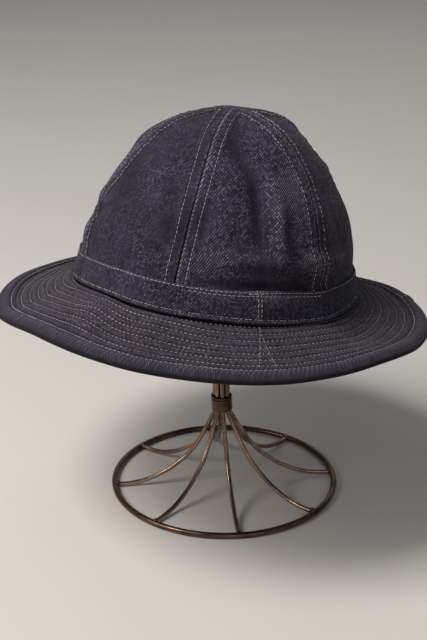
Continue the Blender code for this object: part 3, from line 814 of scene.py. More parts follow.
def gore(panel):
    """One gore, as a wall from the mouth to the top."""
    low = section_share(-(BRIM_THICKNESS + GAP) / CROWN_HEIGHT)
    share = even_shares(float(low), GORE_ROWS)[:, None]
    middle, radius, half = gore_span(panel, share)
    edge = EDGE_COLUMNS[None, :] * np.minimum(1, NARROW * half / EDGE_COLUMNS[-1])
    inner = half - edge[:, -1:]
    between = inner * np.linspace(-1, 1, GORE_MIDDLE)[None, 1:-1]
    columns = np.concatenate([edge - half, between, (half - edge)[:, ::-1]], axis=1)
    azimuth = middle + np.degrees(columns / radius)
    arc, up = crown_arc(share), section_up(share)
    distance = half - np.abs(columns)
    broad = broad_relief(azimuth, share)
    outer = crown(azimuth, share, broad + seam_relief(distance, arc, up))
    inside = crown(azimuth, share, broad - CROWN_CLOTH)
    flat = np.stack(np.broadcast_arrays(columns, arc), axis=-1)
    flat = np.concatenate([flat, flat[:, ::-1], flat[:, :1]], axis=1)
    # The foot under the band is painted dark as the band's shadow.
    under_band_shade = ease((2.5 * MM - up * CROWN_HEIGHT) / MM)
    wear_and_shade = seam_wear_and_shade(distance, columns < 0, up) + GORE_TONES[panel] - under_band_shade
    # Folds are painted paler on their crests and darker in their hollows, and the fades table paints light
    # and shade.
    wear_and_shade = wear_and_shade + FOLD_WEAR_AND_SHADE * broad / MM + spots(CROWN_LIGHT_AND_SHADE, azimuth, up)
    wear_and_shade = np.concatenate([wear_and_shade, wear_and_shade[:, ::-1] * 0], axis=1)
    sections = np.concatenate([outer, inside[:, ::-1]], axis=1)
    return cloth(f"crown_gore_{panel + 1}", sections, flat, wear_and_shade, crown_denim, closed=False)


for panel in range(PANELS):
    finish_piece(gore(panel), "crown_denim", f"crown_panel_{panel + 1}")

# %% [markdown]
# ## The band
#
# The band is a straight strip round the crown's foot. Its top edge is folded in and stitched
# down. Its lower edge is rolled into a soft cord that stands off the brim, hangs a little lower
# in front and throws a dark line, deepened by painted shade on the roll's under side and on the
# brim below it. Its ends overlap a little right of the middle, under two short rows of
# stitches. It is a hoop: an outline, carried round the head. The roll gets the slanting
# puckers that hems always have, because the two layers feed unevenly under the needle. The
# grooves under its rows and some stretches round it are painted darker as shade.

# %% Build the band
BAND_COLUMNS = 520
BAND_JOIN = 15.7                # azimuth of the overlap
OVERLAP, OVERLAP_RISE = 4.2 * MM, 0.55 * MM
OVERLAP_STEP, OVERLAP_RUN = 0.35 * MM, 1.6 * MM         # its cut end, and its far end pressed flat
BAND_TOP_ROW = 16.9 * MM        # heights of the rows of stitches
BAND_SECOND_ROW = 15.2 * MM
BAND_LOW_ROW = 3.5 * MM
BAND_PULLS = ((BAND_LOW_ROW, 0.30 * MM), (BAND_TOP_ROW, 0.25 * MM))     # how far they draw the cloth in
ROLL_LOW, ROLL_HIGH = 1.3 * MM, 3.1 * MM
ROPE_DEPTH, ROPE_LENGTH, ROPE_SLANT = 0.26 * MM, 4.0 * MM, 0.8
BAND_WEAR_AND_SHADE = table(              # rubbed where the band stands out, and painted shade in the grooves under its stitches
    "height tone width",
    (ROLL_HIGH, 0.2, 0.8 * MM), (BAND_HEIGHT, 0.6, 0.5 * MM),
    (BAND_LOW_ROW, -0.5, 0.5 * MM), (BAND_TOP_ROW, -0.4, 0.5 * MM),
)
UNDER_ROLL = table(             # painted shade on the roll's under side: from a height down, how soon and how dark
    "height run dark",
    (2.6 * MM, 1.0 * MM, 0.25), (ROLL_LOW + 0.5 * MM, 0.4 * MM, 0.8),
)
BAND_SHADES = table(            # painted shade: stretches round the band that are darker
    "azimuth dark wide",
    (62, 0.22, 32), (-60, 0.12, 40),
)
BAND_WAVES = table(             # how far the band's edges dip and its roll hangs, in millimetres
    "azimuth low top hang",
    (-150, 0.2, 0.0, 0.3), (-110, 0.4, 0.3, 0.0), (-75, 0.8, 0.7, -0.3), (-54, -0.4, -0.9, -0.2),
    (-42, -0.8, -1.5, -0.1), (-31, 0.0, -1.2, 0.2), (-15, 0.4, -0.7, 0.5), (0, 0.4, -0.3, 0.5),
    (15, 1.4, -0.6, 0.5), (28, 2.2, -0.2, 0.0), (43, 2.4, 1.3, 0.0), (55, 2.0, 1.0, 0.0),
    (75, 0.4, 0.9, 0.3), (110, -0.4, 0.3, 0.6), (160, 0.0, -0.3, 0.3),
)
low_dip = ring_curve(BAND_WAVES["azimuth"], BAND_WAVES["low"] * MM)
roll_hang = ring_curve(BAND_WAVES["azimuth"], BAND_WAVES["hang"] * MM)
top_dip = ring_curve(BAND_WAVES["azimuth"], BAND_WAVES["top"] * MM)


def hoop_azimuths(join, count):
    """Azimuths once round, from the join back to it."""
    return join + np.arange(count + 1) * 360.0 / count


def band_outline():
    """Heights above the mouth and distances off the crown, round the band's section."""
    turn = np.radians(np.linspace(0, 150, 6))
    fold_radius = BAND_CLOTH / 2
    fold = [(BAND_HEIGHT - fold_radius * (1 - math.sin(t)), fold_radius * (1 - math.cos(t))) for t in turn]
    face = [(height, BAND_CLOTH) for height in np.linspace(BAND_HEIGHT - 1.0 * MM, ROLL_HIGH + 0.25 * MM, 28)]
    turn = np.radians(np.linspace(80, -90, 12))
    middle, half = (ROLL_HIGH + ROLL_LOW) / 2, (ROLL_HIGH - ROLL_LOW) / 2
    reach = ROLL_THICKNESS - 0.55 * BAND_CLOTH
    roll = [(middle + half * math.sin(t), 0.4 * BAND_CLOTH + reach * math.cos(t) ** 0.7) for t in turn]
    outline = [(ROLL_LOW, 0.0), (BAND_HEIGHT / 2, 0.0)] + fold + face + roll
    return np.array(outline).T


def band_relief(azimuth, height):
    """Pulls under the band's rows of stitches, the overlap and the slanting puckers of the roll."""
    pull = sum(depth * bump(height - row, 0.6 * MM) for row, depth in BAND_PULLS)
    around = np.radians(azimuth) * MOUTH_WIDTH / 2
    phase = 2 * np.pi * (around + ROPE_SLANT * height) / ROPE_LENGTH + 2 * np.sin(around / (17 * MM))
    rope = ROPE_DEPTH * np.sin(phase) * bump(height - (ROLL_LOW + ROLL_HIGH) / 2, 3.0 * MM)
    beyond = np.radians(turn_from(azimuth, BAND_JOIN)) * MOUTH_LENGTH / 2
    overlap = OVERLAP_RISE * ease((beyond + OVERLAP / 2) / OVERLAP_STEP)
    return rope - pull + overlap * ease((OVERLAP / 2 - beyond) / OVERLAP_RUN)


def seam_distance(azimuth, share):
    """Distance to the nearest of the crown's seams."""
    up = section_up(share)
    turns = [np.abs(turn_from(azimuth, seam_azimuth(seam, up))) for seam in range(PANELS)]
    return np.radians(np.min(turns, axis=0)) * crown_radius(azimuth, share)


def band_surface(azimuth, height, off):
    """Points off the crown at a height above the mouth, with the band's own relief."""
    azimuth, height, off = np.broadcast_arrays(azimuth, height, off)
    part = np.clip(height / BAND_HEIGHT, 0, 1)
    dipped = height - low_dip(azimuth) * (1 - part) - top_dip(azimuth) * part
    dipped = dipped - roll_hang(azimuth) * ease((BAND_LOW_ROW - height) / (1.6 * MM)) * ease(off / (1.5 * MM))
    share = section_share(dipped / CROWN_HEIGHT)
    on_face = ease((off - 0.4 * BAND_CLOTH) / (0.4 * BAND_CLOTH))
    strip = SEAM_RAISE * ease((SEAM_WIDTH + SEAM_STEP - seam_distance(azimuth, share)) / SEAM_STEP)
    under = broad_relief(azimuth, share) + strip
    return crown(azimuth, share, under + GAP + off + on_face * band_relief(azimuth, height))


def hat_band():
    """The band's hoop."""
    around = hoop_azimuths(BAND_JOIN, BAND_COLUMNS)
    height, off = band_outline()
    azimuth = around[:-1, None]
    sections = band_surface(azimuth, height[None, :], off[None, :])
    length = np.radians(around - BAND_JOIN)[:, None] * MOUTH_WIDTH / 2
    flat = np.stack(np.broadcast_arrays(length, np.append(height, height[0])[None, :]), axis=-1)
    # Rubbed edges, with painted shade in the grooves under the rows, under the roll and along darker
    # stretches.
    wear_and_shade = sum(tone * bump(height - at, width) for at, tone, width in zip(*BAND_WEAR_AND_SHADE.values()))
    wear_and_shade = wear_and_shade - sum(dark * ease((at - height) / run) for at, run, dark in zip(*UNDER_ROLL.values()))
    shade = sum(dark * bump(turn_from(azimuth, at), wide) for at, dark, wide in zip(*BAND_SHADES.values()))
    return cloth("band", sections, flat, wear_and_shade[None, :] - shade, band_denim, closed=True)


finish_piece(hat_band(), "band_denim", "hat_band")

# %% [markdown]
# ## The brim
#
# A brim like this is two flat rings of denim, sewn together in close rows so that it holds its
# shape. Between two rows the cloth puffs up a little, and under each row it is drawn down. The
# rows are never perfect circles: the machinist steers by eye. So the distance from the edge is
# first shifted by a slow random drift, and both the grooves here and the stitches later on
# read the same drifted distance, which keeps the thread in its groove. A table holds the
# swells, which lift or lower the brim's two faces together: by up to six millimetres where
# the brim buckles at the left, and by less than four elsewhere.

# %% Build the brim
BRIM_COLUMNS = 600
BRIM_ROWS = 66
UNDER_ROWS = 48
ROW_COUNT = 8
ROW_PITCH = 5.4 * MM
FIRST_ROW = 8.4 * MM            # from the edge to the outermost row, which holds the binding
SECOND_ROW = 14.5 * MM
QUILT_PUFF = 0.60 * MM
UNDER_PUFF = 0.8 * QUILT_PUFF   # the under face puffs less
ROW_DRIFT = 0.40 * MM
BRIM_LUMPS, BRIM_LUMP_SIZE = 0.4 * MM, 28 * MM
SWELL_ONSET = 12                # the swells are at full height from 1/12 of the brim's reach on
LIP_RUN = 0.004                 # share of the reach over which the quilting ends under the binding
ROLL_SHADOW_TO, ROLL_SHADOW_RUN = 0.07, 0.04      # shares of the reach over which the brim is painted dark as the band's roll's shadow
BRIM_SWELLS = table(            # where the brim bulges up or sags: place, lift, and reach both ways
    "azimuth share lift wide deep",
    (-40, 0.42, 5.0, 8, 0.28),
    (-55, 0.45, 3.0, 13, 0.30),
    (-50, 0.09, 3.6, 20, 0.13),
    (-20, 0.42, 2.0, 9, 0.20),
    (-18, 0.12, 1.7, 14, 0.22),
    (54, 0.42, -3.6, 15, 0.34),
    (34, 1.00, -0.8, 10, 0.30),
    (66, 1.00, -1.9, 16, 0.32),
    (90, 1.00, -0.6, 10, 0.32),
    (-36, 1.00, -1.4, 16, 0.26),
    (-68, 1.00, -1.0, 12, 0.28),
    (114, 1.00, 2.8, 16, 0.36),
    (-103, 1.00, 1.6, 12, 0.36),
    (-130, 1.00, -0.8, 14, 0.36),
    (118, 0.45, 2.2, 14, 0.30),
    (165, 0.50, -2.4, 16, 0.30),
    (-140, 0.45, 2.4, 12, 0.30),
    (-105, 0.50, -1.8, 14, 0.30),
)
FACE_LENGTH = math.hypot(BRIM_REACH, BRIM_DROP)
BRIM_CREASE, CREASE_DEPTH, CREASE_REACH = -74.0, 1.9 * MM, 6.0      # a soft fold at the left
BRIM_JOIN = 15.5


def row_drift(azimuth, distance):
    """How far the rows of stitches wander from a true distance."""
    ring = pointing(azimuth, MOUTH_WIDTH / 2 + FACE_LENGTH - distance, 0.0)
    return ROW_DRIFT * softness(ring * np.array([1, 1, 0]), 34 * MM, 5)


def brim_share(distance):
    """Share of the brim's reach at a distance from its edge."""
    return 1 - distance / FACE_LENGTH


def brim_surface(azimuth, share, off):
    """Points beside the brim's upper face, a distance off it."""
    azimuth, share, off = np.broadcast_arrays(azimuth, share, off)
    root = crown(azimuth, section_share(0.0), GAP + broad_relief(azimuth, section_share(0.0)))
    radius, height = np.hypot(root[..., 0], root[..., 1]), root[..., 2]
    reach, drop = BRIM_REACH * rim_reach(azimuth), BRIM_DROP * rim_drop(azimuth)
    ahead, behind = share + 0.01, np.maximum(share - 0.01, 0)
    slope = np.arctan2(drop * (brim_fall(ahead) - brim_fall(behind)), reach * (ahead - behind))
    lumps = BRIM_LUMPS * softness(pointing(azimuth, radius + reach * share, 0.0), BRIM_LUMP_SIZE, 8)
    off = off + lumps * ease(share * 3)
    height = height + spots(BRIM_SWELLS, azimuth, share) * MM * ease(share * SWELL_ONSET)
    turn = np.hypot(turn_from(azimuth, BRIM_CREASE), 0.3 * CREASE_REACH)
    height = height - CREASE_DEPTH * np.exp(-turn / CREASE_REACH) * ease(share * 2)
    out = radius + reach * share + off * np.sin(slope)
    return pointing(azimuth, out, height - drop * brim_fall(share) + off * np.cos(slope))


def row_distance(row):
    """Distance of a row of stitches from the edge."""
    return FIRST_ROW if row == 0 else SECOND_ROW + (row - 1) * ROW_PITCH


def quilting(azimuth, share, puff):
    """Puffed cloth between the rows, drawn down under each of them."""
    distance = (1 - share) * FACE_LENGTH
    place = (distance + row_drift(azimuth, distance) - SECOND_ROW) / ROW_PITCH
    return puff * (np.abs(np.sin(np.pi * np.clip(place, -0.5, ROW_COUNT - 1.5))) ** 0.75 - 1)


def brim():
    """The brim's hoop, from the crown's foot to under the binding."""
    around = hoop_azimuths(BRIM_JOIN, BRIM_COLUMNS)
    azimuth = around[:-1, None]
    lip = float(brim_share(BINDING_WIDTH))
    top = np.concatenate([np.linspace(0, lip, BRIM_ROWS), np.linspace(lip, 1, 6)[1:]])[None, :]
    under = np.concatenate([np.linspace(1, lip, 6)[:-1], np.linspace(lip, 0, UNDER_ROWS)])[None, :]
    lift = quilting(azimuth, top, QUILT_PUFF)
    bound = ease((top - lip) / LIP_RUN + 1)
    upper = brim_surface(azimuth, top, lift * (1 - bound) - 0.1 * MM * bound)
    fall = quilting(azimuth, under, UNDER_PUFF)
    bound = ease((under - lip) / LIP_RUN + 1)
    lower = brim_surface(azimuth, under, -BRIM_THICKNESS - fall * (1 - bound))
    sections = np.concatenate([upper, lower], axis=1)
    flat = np.concatenate([sections, sections[:, :1]], axis=1)[:, :, :2]
    flat = np.concatenate([flat, flat[:1]], axis=0)
    # Painted shade darkens the quilting's grooves under the rows, and the puffs are a little rubbed.
    wear_and_shade = 0.8 * np.concatenate([lift, fall], axis=1) / QUILT_PUFF + 0.2
    # The brim's root under the band's roll is painted dark as its shadow.
    under_band_shade = np.concatenate([ease((ROLL_SHADOW_TO - top) / ROLL_SHADOW_RUN), 0 * under], axis=1)
    return cloth("stitched_brim", sections, flat, wear_and_shade - 1.2 * under_band_shade, brim_denim, closed=True)


finish_piece(brim(), "brim_denim", "brim")

# %% [markdown]
# ## The binding
#
# The brim's raw edge is wrapped in a strip cut on the bias, so that it bends round the curve
# without a crease. It is folded over the edge and stretched a little, which puffs it up and
# draws its weave into fine, calm ribs straight across the strip. Its outline is a flattened
# tube with a slit for the brim. Slow puckers from the stitching run out from its inner edge,
# and where the strip's ends meet at the right, one is lapped over the other.

# %% Build the binding
BINDING_COLUMNS = 640
BINDING_JOIN = 105.0
JOIN_RISE, JOIN_REACH = 0.7 * MM, 3.2                  # the lapped end, and its length in degrees
JOIN_STEP, JOIN_RUN = 0.3, 1.2                         # degrees over which it rises and falls again
BINDING_PUCKER, BINDING_WAVE = 0.13 * MM, 7.5 * MM
BINDING_SECTION = table(        # inwards from the edge in binding widths, off the brim in millimetres
    "inwards off",
    (1.00, 0.10), (1.01, 0.45), (0.985, 0.80), (0.93, 0.95), (0.87, 0.95), (0.80, 0.78), (0.75, 0.75),
    (0.70, 1.15), (0.62, 1.75), (0.52, 2.15), (0.41, 2.30), (0.28, 2.15), (0.15, 1.75), (0.05, 1.25),
    (-0.07, 0.70), (-0.16, -0.10), (-0.20, -1.10),
)


def binding_outline():
    """Distances from the edge and heights off the upper face, round the binding's section."""
    inwards = BINDING_SECTION["inwards"] * BINDING_WIDTH
    off = BINDING_SECTION["off"] * MM
    steps = np.linspace(0, len(off) - 1, 30)
    over = np.stack([curve_through(range(len(off)), values)(steps) for values in (inwards, off)])
    mirrored = np.stack([over[0, -2::-1], -BRIM_THICKNESS - over[1, -2::-1]])
    slit = np.array([[0.3 * MM, 0.3 * MM], [-BRIM_THICKNESS - 0.1 * MM, 0.1 * MM]])
    return np.concatenate([over, mirrored, slit], axis=1)


def binding_surface(azimuth, inwards, off):
    """Points of the binding, with its puckers and its lapped end."""
    around = np.radians(azimuth) * (MOUTH_WIDTH / 2 + BRIM_REACH)
    puckers = np.sin(2 * np.pi * around / BINDING_WAVE + 2.2 * np.sin(around / (23 * MM)))
    puckers = BINDING_PUCKER * puckers * bump(inwards - 0.75 * BINDING_WIDTH, 0.35 * BINDING_WIDTH)
    turn = turn_from(azimuth, BINDING_JOIN)
    lapped = JOIN_RISE * ease((turn + JOIN_REACH / 2) / JOIN_STEP) * ease((JOIN_REACH / 2 - turn) / JOIN_RUN)
    middle = off + BRIM_THICKNESS / 2
    outwards = np.sign(middle) * ease(np.abs(middle) / MM - 1)
    return brim_surface(azimuth, brim_share(inwards), off + (puckers + lapped) * outwards)


def binding():
    """The binding's hoop."""
    around = hoop_azimuths(BINDING_JOIN, BINDING_COLUMNS)
    azimuth = around[:-1, None]
    inwards, off = (row[None, :] for row in binding_outline())
    sections = binding_surface(azimuth, inwards, off)
    length = np.radians(around - BINDING_JOIN)[:, None] * (MOUTH_WIDTH / 2 + BRIM_REACH)
    outline = np.concatenate([sections[0], sections[0, :1]])
    girth = np.concatenate([[0], np.cumsum(np.linalg.norm(np.diff(outline, axis=0), axis=-1))])
    flat = np.stack(np.broadcast_arrays(length, girth[None, :]), axis=-1)
    # The crest is rubbed paler; painted shade darkens the groove under the row and the lower, outer side.
    crest = bump(inwards - 0.45 * BINDING_WIDTH, 0.25 * BINDING_WIDTH)
    stitched = bump(inwards - FIRST_ROW, 0.9 * MM)
    low_side_shade = ease((1.3 * MM - off) / (1.6 * MM)) * ease(2 - inwards / (0.2 * BINDING_WIDTH))
    wear_and_shade = np.broadcast_to(0.3 * crest - 0.8 * stitched - 1.1 * low_side_shade, sections.shape[:2])
    return cloth("binding", sections, flat, wear_and_shade, binding_denim, closed=True)


finish_piece(binding(), "binding_denim", "brim_binding")

# %% [markdown]
# ## Stitches by Geometry Nodes
#
# There are about five thousand stitches, all alike, and all of them follow a line. That is
# the very thing Geometry Nodes are for. The tree takes bare edges, turns them into curves,
# sets a point on them for every stitch, and puts a short arched thread on each, with its belly
# away from the cloth. The arch matters: both ends of a real stitch dive into the cloth, and
# that is why a row looks like beads and not like wire.
#
# Which way is away from the cloth is stored on the bare edges as a named attribute, because a
# curve by itself doesn't know what it lies on. The steps that the later trees need too, such
# as sweeping a circle along a path, are small functions of their own.


# %% Steps that the trees share
def shape_tree(name, sizes):
    """A tree that takes a shape, named sizes and a material, and gives a shape."""
    inputs = {"Geometry": ("Geometry", None)} | sizes | {"Material": ("Material", None)}
    return new_group(name, "GeometryNodeTree", inputs, {"Geometry": "Geometry"})


def give_shape(tree, shape, given, result):
    """Ends a tree with real meshes, shaded smooth, in the material that it was given."""
    shape = add(tree, "GeometryNodeRealizeInstances", {0: shape}).outputs[0]
    shape = add(tree, "GeometryNodeSetShadeSmooth", {0: shape}).outputs[0]
    shape = add(tree, "GeometryNodeSetMaterial", {0: shape, "Material": given["Material"]}).outputs[0]
    tree.links.new(shape, result.inputs[0])


def random_between(tree, low, high, seed):
    """A random number at each point."""
    values = {2: low, 3: high, "Seed": seed}
    return add(tree, "FunctionNodeRandomValue", values, data_type="FLOAT").outputs[1]


def swept(tree, path, thickness, sides, girth=1.0):
    """A round bar along a path. Girth makes it thicker or thinner on its way."""
    radius = maths(tree, "MULTIPLY", thickness, 0.5)
    ring = add(tree, "GeometryNodeCurvePrimitiveCircle", {"Resolution": sides, "Radius": radius}).outputs[0]
    values = {"Curve": path, "Profile Curve": ring, "Scale": girth, "Fill Caps": True}
    return add(tree, "GeometryNodeCurveToMesh", values).outputs[0]


def set_on(tree, points, shape, turn, size):
    """A copy of a shape on each point."""
    values = {"Points": points, "Instance": shape, "Rotation": turn, "Scale": size}
    return add(tree, "GeometryNodeInstanceOnPoints", values).outputs[0]


# %% The stitching tree
def stitching_tree():
    """Turns edges into rows of stitches."""
    tree, given, result = shape_tree("rows of stitches", {
        "Pitch": ("Float", 2.85 * MM),
        "Length": ("Float", 2.2 * MM),
        "Thread": ("Float", 0.45 * MM),
        "Dive": ("Float", 0.3 * MM),
        "Seed": ("Int", 3),
    })
    rows = add(tree, "GeometryNodeMeshToCurve", {0: given["Geometry"]}).outputs[0]
    evenly = {"Curve": rows, "Length": given["Pitch"]}
    points = add(tree, "GeometryNodeResampleCurve", evenly, mode="LENGTH").outputs[0]
    away = add(tree, "GeometryNodeInputNamedAttribute", {"Name": "away"}, data_type="FLOAT_VECTOR").outputs[0]
    axes = {0: away, 1: add(tree, "GeometryNodeInputTangent").outputs[0]}
    turn = add(tree, "FunctionNodeAxesToRotation", axes, primary_axis="Z", secondary_axis="X").outputs[0]
    swing = random_between(tree, -0.07, 0.07, given["Seed"])
    twist = add(tree, "ShaderNodeCombineXYZ", {2: swing}).outputs[0]
    twist = add(tree, "FunctionNodeEulerToRotation", {0: twist}).outputs[0]
    turn = add(tree, "FunctionNodeRotateRotation", {0: turn, 1: twist}, rotation_space="LOCAL").outputs[0]

    # One stitch: a line, bent so that its ends dive, and thick in the middle
    half = maths(tree, "MULTIPLY", given["Length"], 0.5)
    start = add(tree, "ShaderNodeCombineXYZ", {0: maths(tree, "MULTIPLY", half, -1.0)}).outputs[0]
    end = add(tree, "ShaderNodeCombineXYZ", {0: half}).outputs[0]
    line = add(tree, "GeometryNodeCurvePrimitiveLine", {"Start": start, "End": end}).outputs[0]
    line = add(tree, "GeometryNodeResampleCurve", {"Curve": line, "Count": 5}, mode="COUNT").outputs[0]
    share = add(tree, "GeometryNodeSplineParameter").outputs["Factor"]
    side = maths(tree, "MULTIPLY_ADD", share, 2.0, -1.0)
    square = maths(tree, "MULTIPLY", side, side)
    dip = maths(tree, "MULTIPLY", maths(tree, "MULTIPLY", square, given["Dive"]), -1.0)
    dip = add(tree, "ShaderNodeCombineXYZ", {2: dip}).outputs[0]
    bent = add(tree, "GeometryNodeSetPosition", {"Geometry": line, "Offset": dip}).outputs[0]
    thread = swept(tree, bent, given["Thread"], 5, maths(tree, "MULTIPLY_ADD", square, -0.35, 1.0))
    sizes = random_between(tree, 0.88, 1.08, given["Seed"])
    give_shape(tree, set_on(tree, points, thread, turn, sizes), given, result)
    return tree


stitching = stitching_tree()


# %% From a tree to a plain mesh
def made_by(tree, name, source, values):
    """Runs a tree on a mesh with the values given, and keeps the result as a plain mesh."""
    carrier = link_object(name + "_path", source)
    modifier = carrier.modifiers.new("build", "NODES")
    modifier.node_group = tree
    for item in tree.interface.items_tree:
        if item.in_out == "INPUT" and item.name in values:
            modifier[item.identifier] = values[item.name]
    bpy.context.view_layer.update()
    evaluated = carrier.evaluated_get(bpy.context.evaluated_depsgraph_get())
    mesh = bpy.data.meshes.new_from_object(evaluated)
    mesh.name = name
    bpy.data.objects.remove(carrier)
    mesh.calc_loop_triangles()
    print(f"{name}: {len(mesh.loop_triangles)} triangles by nodes")
    return link_object(name, mesh)


def path_mesh(name, lines, aways=None):
    """Bare edges along lines, each a (points, closed) pair, with the way off the cloth at each point."""
    points, edges = [], []
    for line, closed in lines:
        first, count = len(points), len(line)
        points += line.tolist()
        edges += [(first + k, first + k + 1) for k in range(count - 1)]
        if closed:
            edges.append((first + count - 1, first))
    mesh = bpy.data.meshes.new(name)
    mesh.from_pydata(points, edges, [])
    if aways is not None:
        stored = mesh.attributes.new("away", "FLOAT_VECTOR", "POINT")
        stored.data.foreach_set("vector", np.concatenate(aways).astype(np.float32).ravel())
    return mesh


def row_of_stitches(surface, azimuth, across, lift, way=1, closed=False):
    """A line at a height off a surface, and which way is away from the cloth: -1 is on its under face."""
    line, above = (surface(azimuth, across, lift + way * off) for off in (0.0, 0.5 * MM))
    away = above - line
    away = away / np.linalg.norm(away, axis=-1, keepdims=True)
    return (seated(line), closed), away @ hat_turn.T


# %% [markdown]
# ## Thread
#
# The thread is a dull cream cotton. Its colour changes a little from stitch to stitch, and its
# twist is finer than anything that shows at this distance, so a soft noise in its colour and a
# high roughness are enough.


# %% Thread material
def thread_material():
    """Dull cream thread, uneven in tone."""
    made, tree, shader = principled("cream_thread", Specular_IOR_Level=0.25, Sheen_Weight=0.1)
    where = add(tree, "ShaderNodeTexCoord").outputs["Object"]
    fine = noise_value(tree, where, 3.0 * MM, 2.0)
    slow = noise_value(tree, where, 22.0 * MM, 1.0)
    both = maths(tree, "MULTIPLY_ADD", slow, 0.5, maths(tree, "MULTIPLY", fine, 0.5))
    fill(tree, shader, {
        "Base Color": mixed(tree, ranged(tree, both, 0.32, 0.66), DULL_THREAD, PALE_THREAD),
        "Roughness": ranged(tree, fine, 0.3, 0.7, 0.7, 0.9),
    })
    return made


DULL_THREAD, PALE_THREAD = (0.177, 0.165, 0.176, 1), (0.47, 0.438, 0.448, 1)
cream_thread = thread_material()

# %% Stitches of the crown
THREAD = 0.46 * MM
THREAD_LIFT = 0.10 * MM         # how far the thread's middle lies off the cloth
STITCH_LENGTH, STITCH_DIVE = 0.86 * STITCH_PITCH, 0.30 * MM


def stitch_piece(name, rows, seed, slot):
    """All the rows of one piece as one mesh of stitches."""
    lines, aways = zip(*rows)
    values = {"Pitch": STITCH_PITCH, "Length": STITCH_LENGTH, "Thread": THREAD, "Dive": STITCH_DIVE}
    values |= {"Seed": seed, "Material": cream_thread}
    finish_piece(made_by(stitching, name, path_mesh(name, lines, aways), values), slot)


def crown_rows_of_stitches():
    """Two rows beside each seam, up to where neighbouring rows meet near the top."""
    rows = []
    foot = float(section_share((BAND_HEIGHT - 1 * MM) / CROWN_HEIGHT))
    shares = even_shares(foot, 260)
    for panel in range(PANELS):
        kept = gore_span(panel, shares)[2] > TOPSTITCH + 0.2 * MM
        share = shares[kept]
        middle, radius, half = gore_span(panel, share)
        arc, up = crown_arc(share), section_up(share)
        for side in (-1, 1):
            azimuth = middle + side * np.degrees((half - TOPSTITCH) / radius)
            relief = broad_relief(azimuth, share) + seam_relief(TOPSTITCH, arc, up) + THREAD_LIFT
            rows.append(row_of_stitches(crown, azimuth, share, relief))
    return rows


stitch_piece("crown_stitches", crown_rows_of_stitches(), 11, "crown_denim")


# %% Stitches of the band
BAND_SECOND_SPAN = (-10, 42)                            # azimuths between which the second top row runs
BAND_JOIN_ROWS = 1.05 * MM                              # the join's two rows, left and right of it
BAND_TACK, BAND_TACK_LIFT = (-3.2, 1.4), 0.25 * MM      # degrees either way of the join, at its upper end
BAND_TACK_ROWS = (1.5 * MM, 0.9 * MM)                   # below the band's top edge


def band_rows_of_stitches():
    """The lower row, the row on the top edge, a short second one under it, the join and its tack."""
    around = np.linspace(BAND_JOIN, BAND_JOIN + 360, 900)[:-1]
    face = BAND_CLOTH + THREAD_LIFT
    rows = [row_of_stitches(band_surface, around, height, face, closed=True)
            for height in (BAND_LOW_ROW, BAND_TOP_ROW)]
    part = np.linspace(*BAND_SECOND_SPAN, 130)
    rows.append(row_of_stitches(band_surface, part, BAND_SECOND_ROW, face))
    upright = np.linspace(BAND_LOW_ROW - 0.4 * MM, BAND_HEIGHT - 0.6 * MM, 24)
    for aside in (-BAND_JOIN_ROWS, BAND_JOIN_ROWS):
        azimuth = BAND_JOIN + math.degrees(aside / (MOUTH_LENGTH / 2)) + 0 * upright
        rows.append(row_of_stitches(band_surface, azimuth, upright, face))
    tack = BAND_JOIN + np.linspace(*BAND_TACK, 6)
    for below in BAND_TACK_ROWS:
        rows.append(row_of_stitches(band_surface, tack, BAND_HEIGHT - below, face + BAND_TACK_LIFT))
    return rows


stitch_piece("band_stitches", band_rows_of_stitches(), 12, "band_denim")


# %% Stitches of the brim
BINDING_ROW_RISE = 0.8 * MM                             # the binding's height under its row of stitches
BRIM_JOIN_ROWS = ((16.2, 0.70), (11.5, 0.78))           # azimuth and share of the reach where each ends
BINDING_TACKS = (-59.5, BINDING_JOIN - 1.3, BINDING_JOIN - 1.0)
TACK_SLANT, TACK_INWARDS = 0.3, (0.2, 0.72)             # degrees, and binding widths from the edge


def brim_rows_of_stitches():
    """Eight rows on each face of the brim, its join, and three tacks across the binding."""
    rows = []
    around = np.linspace(BRIM_JOIN, BRIM_JOIN + 360, 1100)[:-1]
    for row in range(ROW_COUNT):
        distance = row_distance(row) + 0 * around
        distance = distance - row_drift(around, distance)
        if row == 0:
            surface, across, top, under = binding_surface, distance, BINDING_ROW_RISE, BINDING_ROW_RISE
        else:
            surface, across, top, under = brim_surface, brim_share(distance), -QUILT_PUFF, -UNDER_PUFF
        under = -BRIM_THICKNESS - under - THREAD_LIFT
        rows.append(row_of_stitches(surface, around, across, top + THREAD_LIFT, closed=True))
        rows.append(row_of_stitches(surface, around, across, under, way=-1, closed=True))
    for last, reach in BRIM_JOIN_ROWS:
        share, azimuth = np.linspace(0.05, reach, 30), np.linspace(BRIM_JOIN, last, 30)
        rows.append(row_of_stitches(brim_surface, azimuth, share, -0.2 * QUILT_PUFF))
    inwards = np.linspace(*TACK_INWARDS, 10) * BINDING_WIDTH
    section = BINDING_SECTION["inwards"][::-1] * BINDING_WIDTH
    height = np.interp(inwards, section, BINDING_SECTION["off"][::-1] * MM) + THREAD_LIFT
    for turn in BINDING_TACKS:
        azimuth = turn + TACK_SLANT * np.linspace(1, -1, 10)
        rows.append(row_of_stitches(binding_surface, azimuth, inwards, height))
    return rows


stitch_piece("brim_stitches", brim_rows_of_stitches(), 13, "brim_denim")
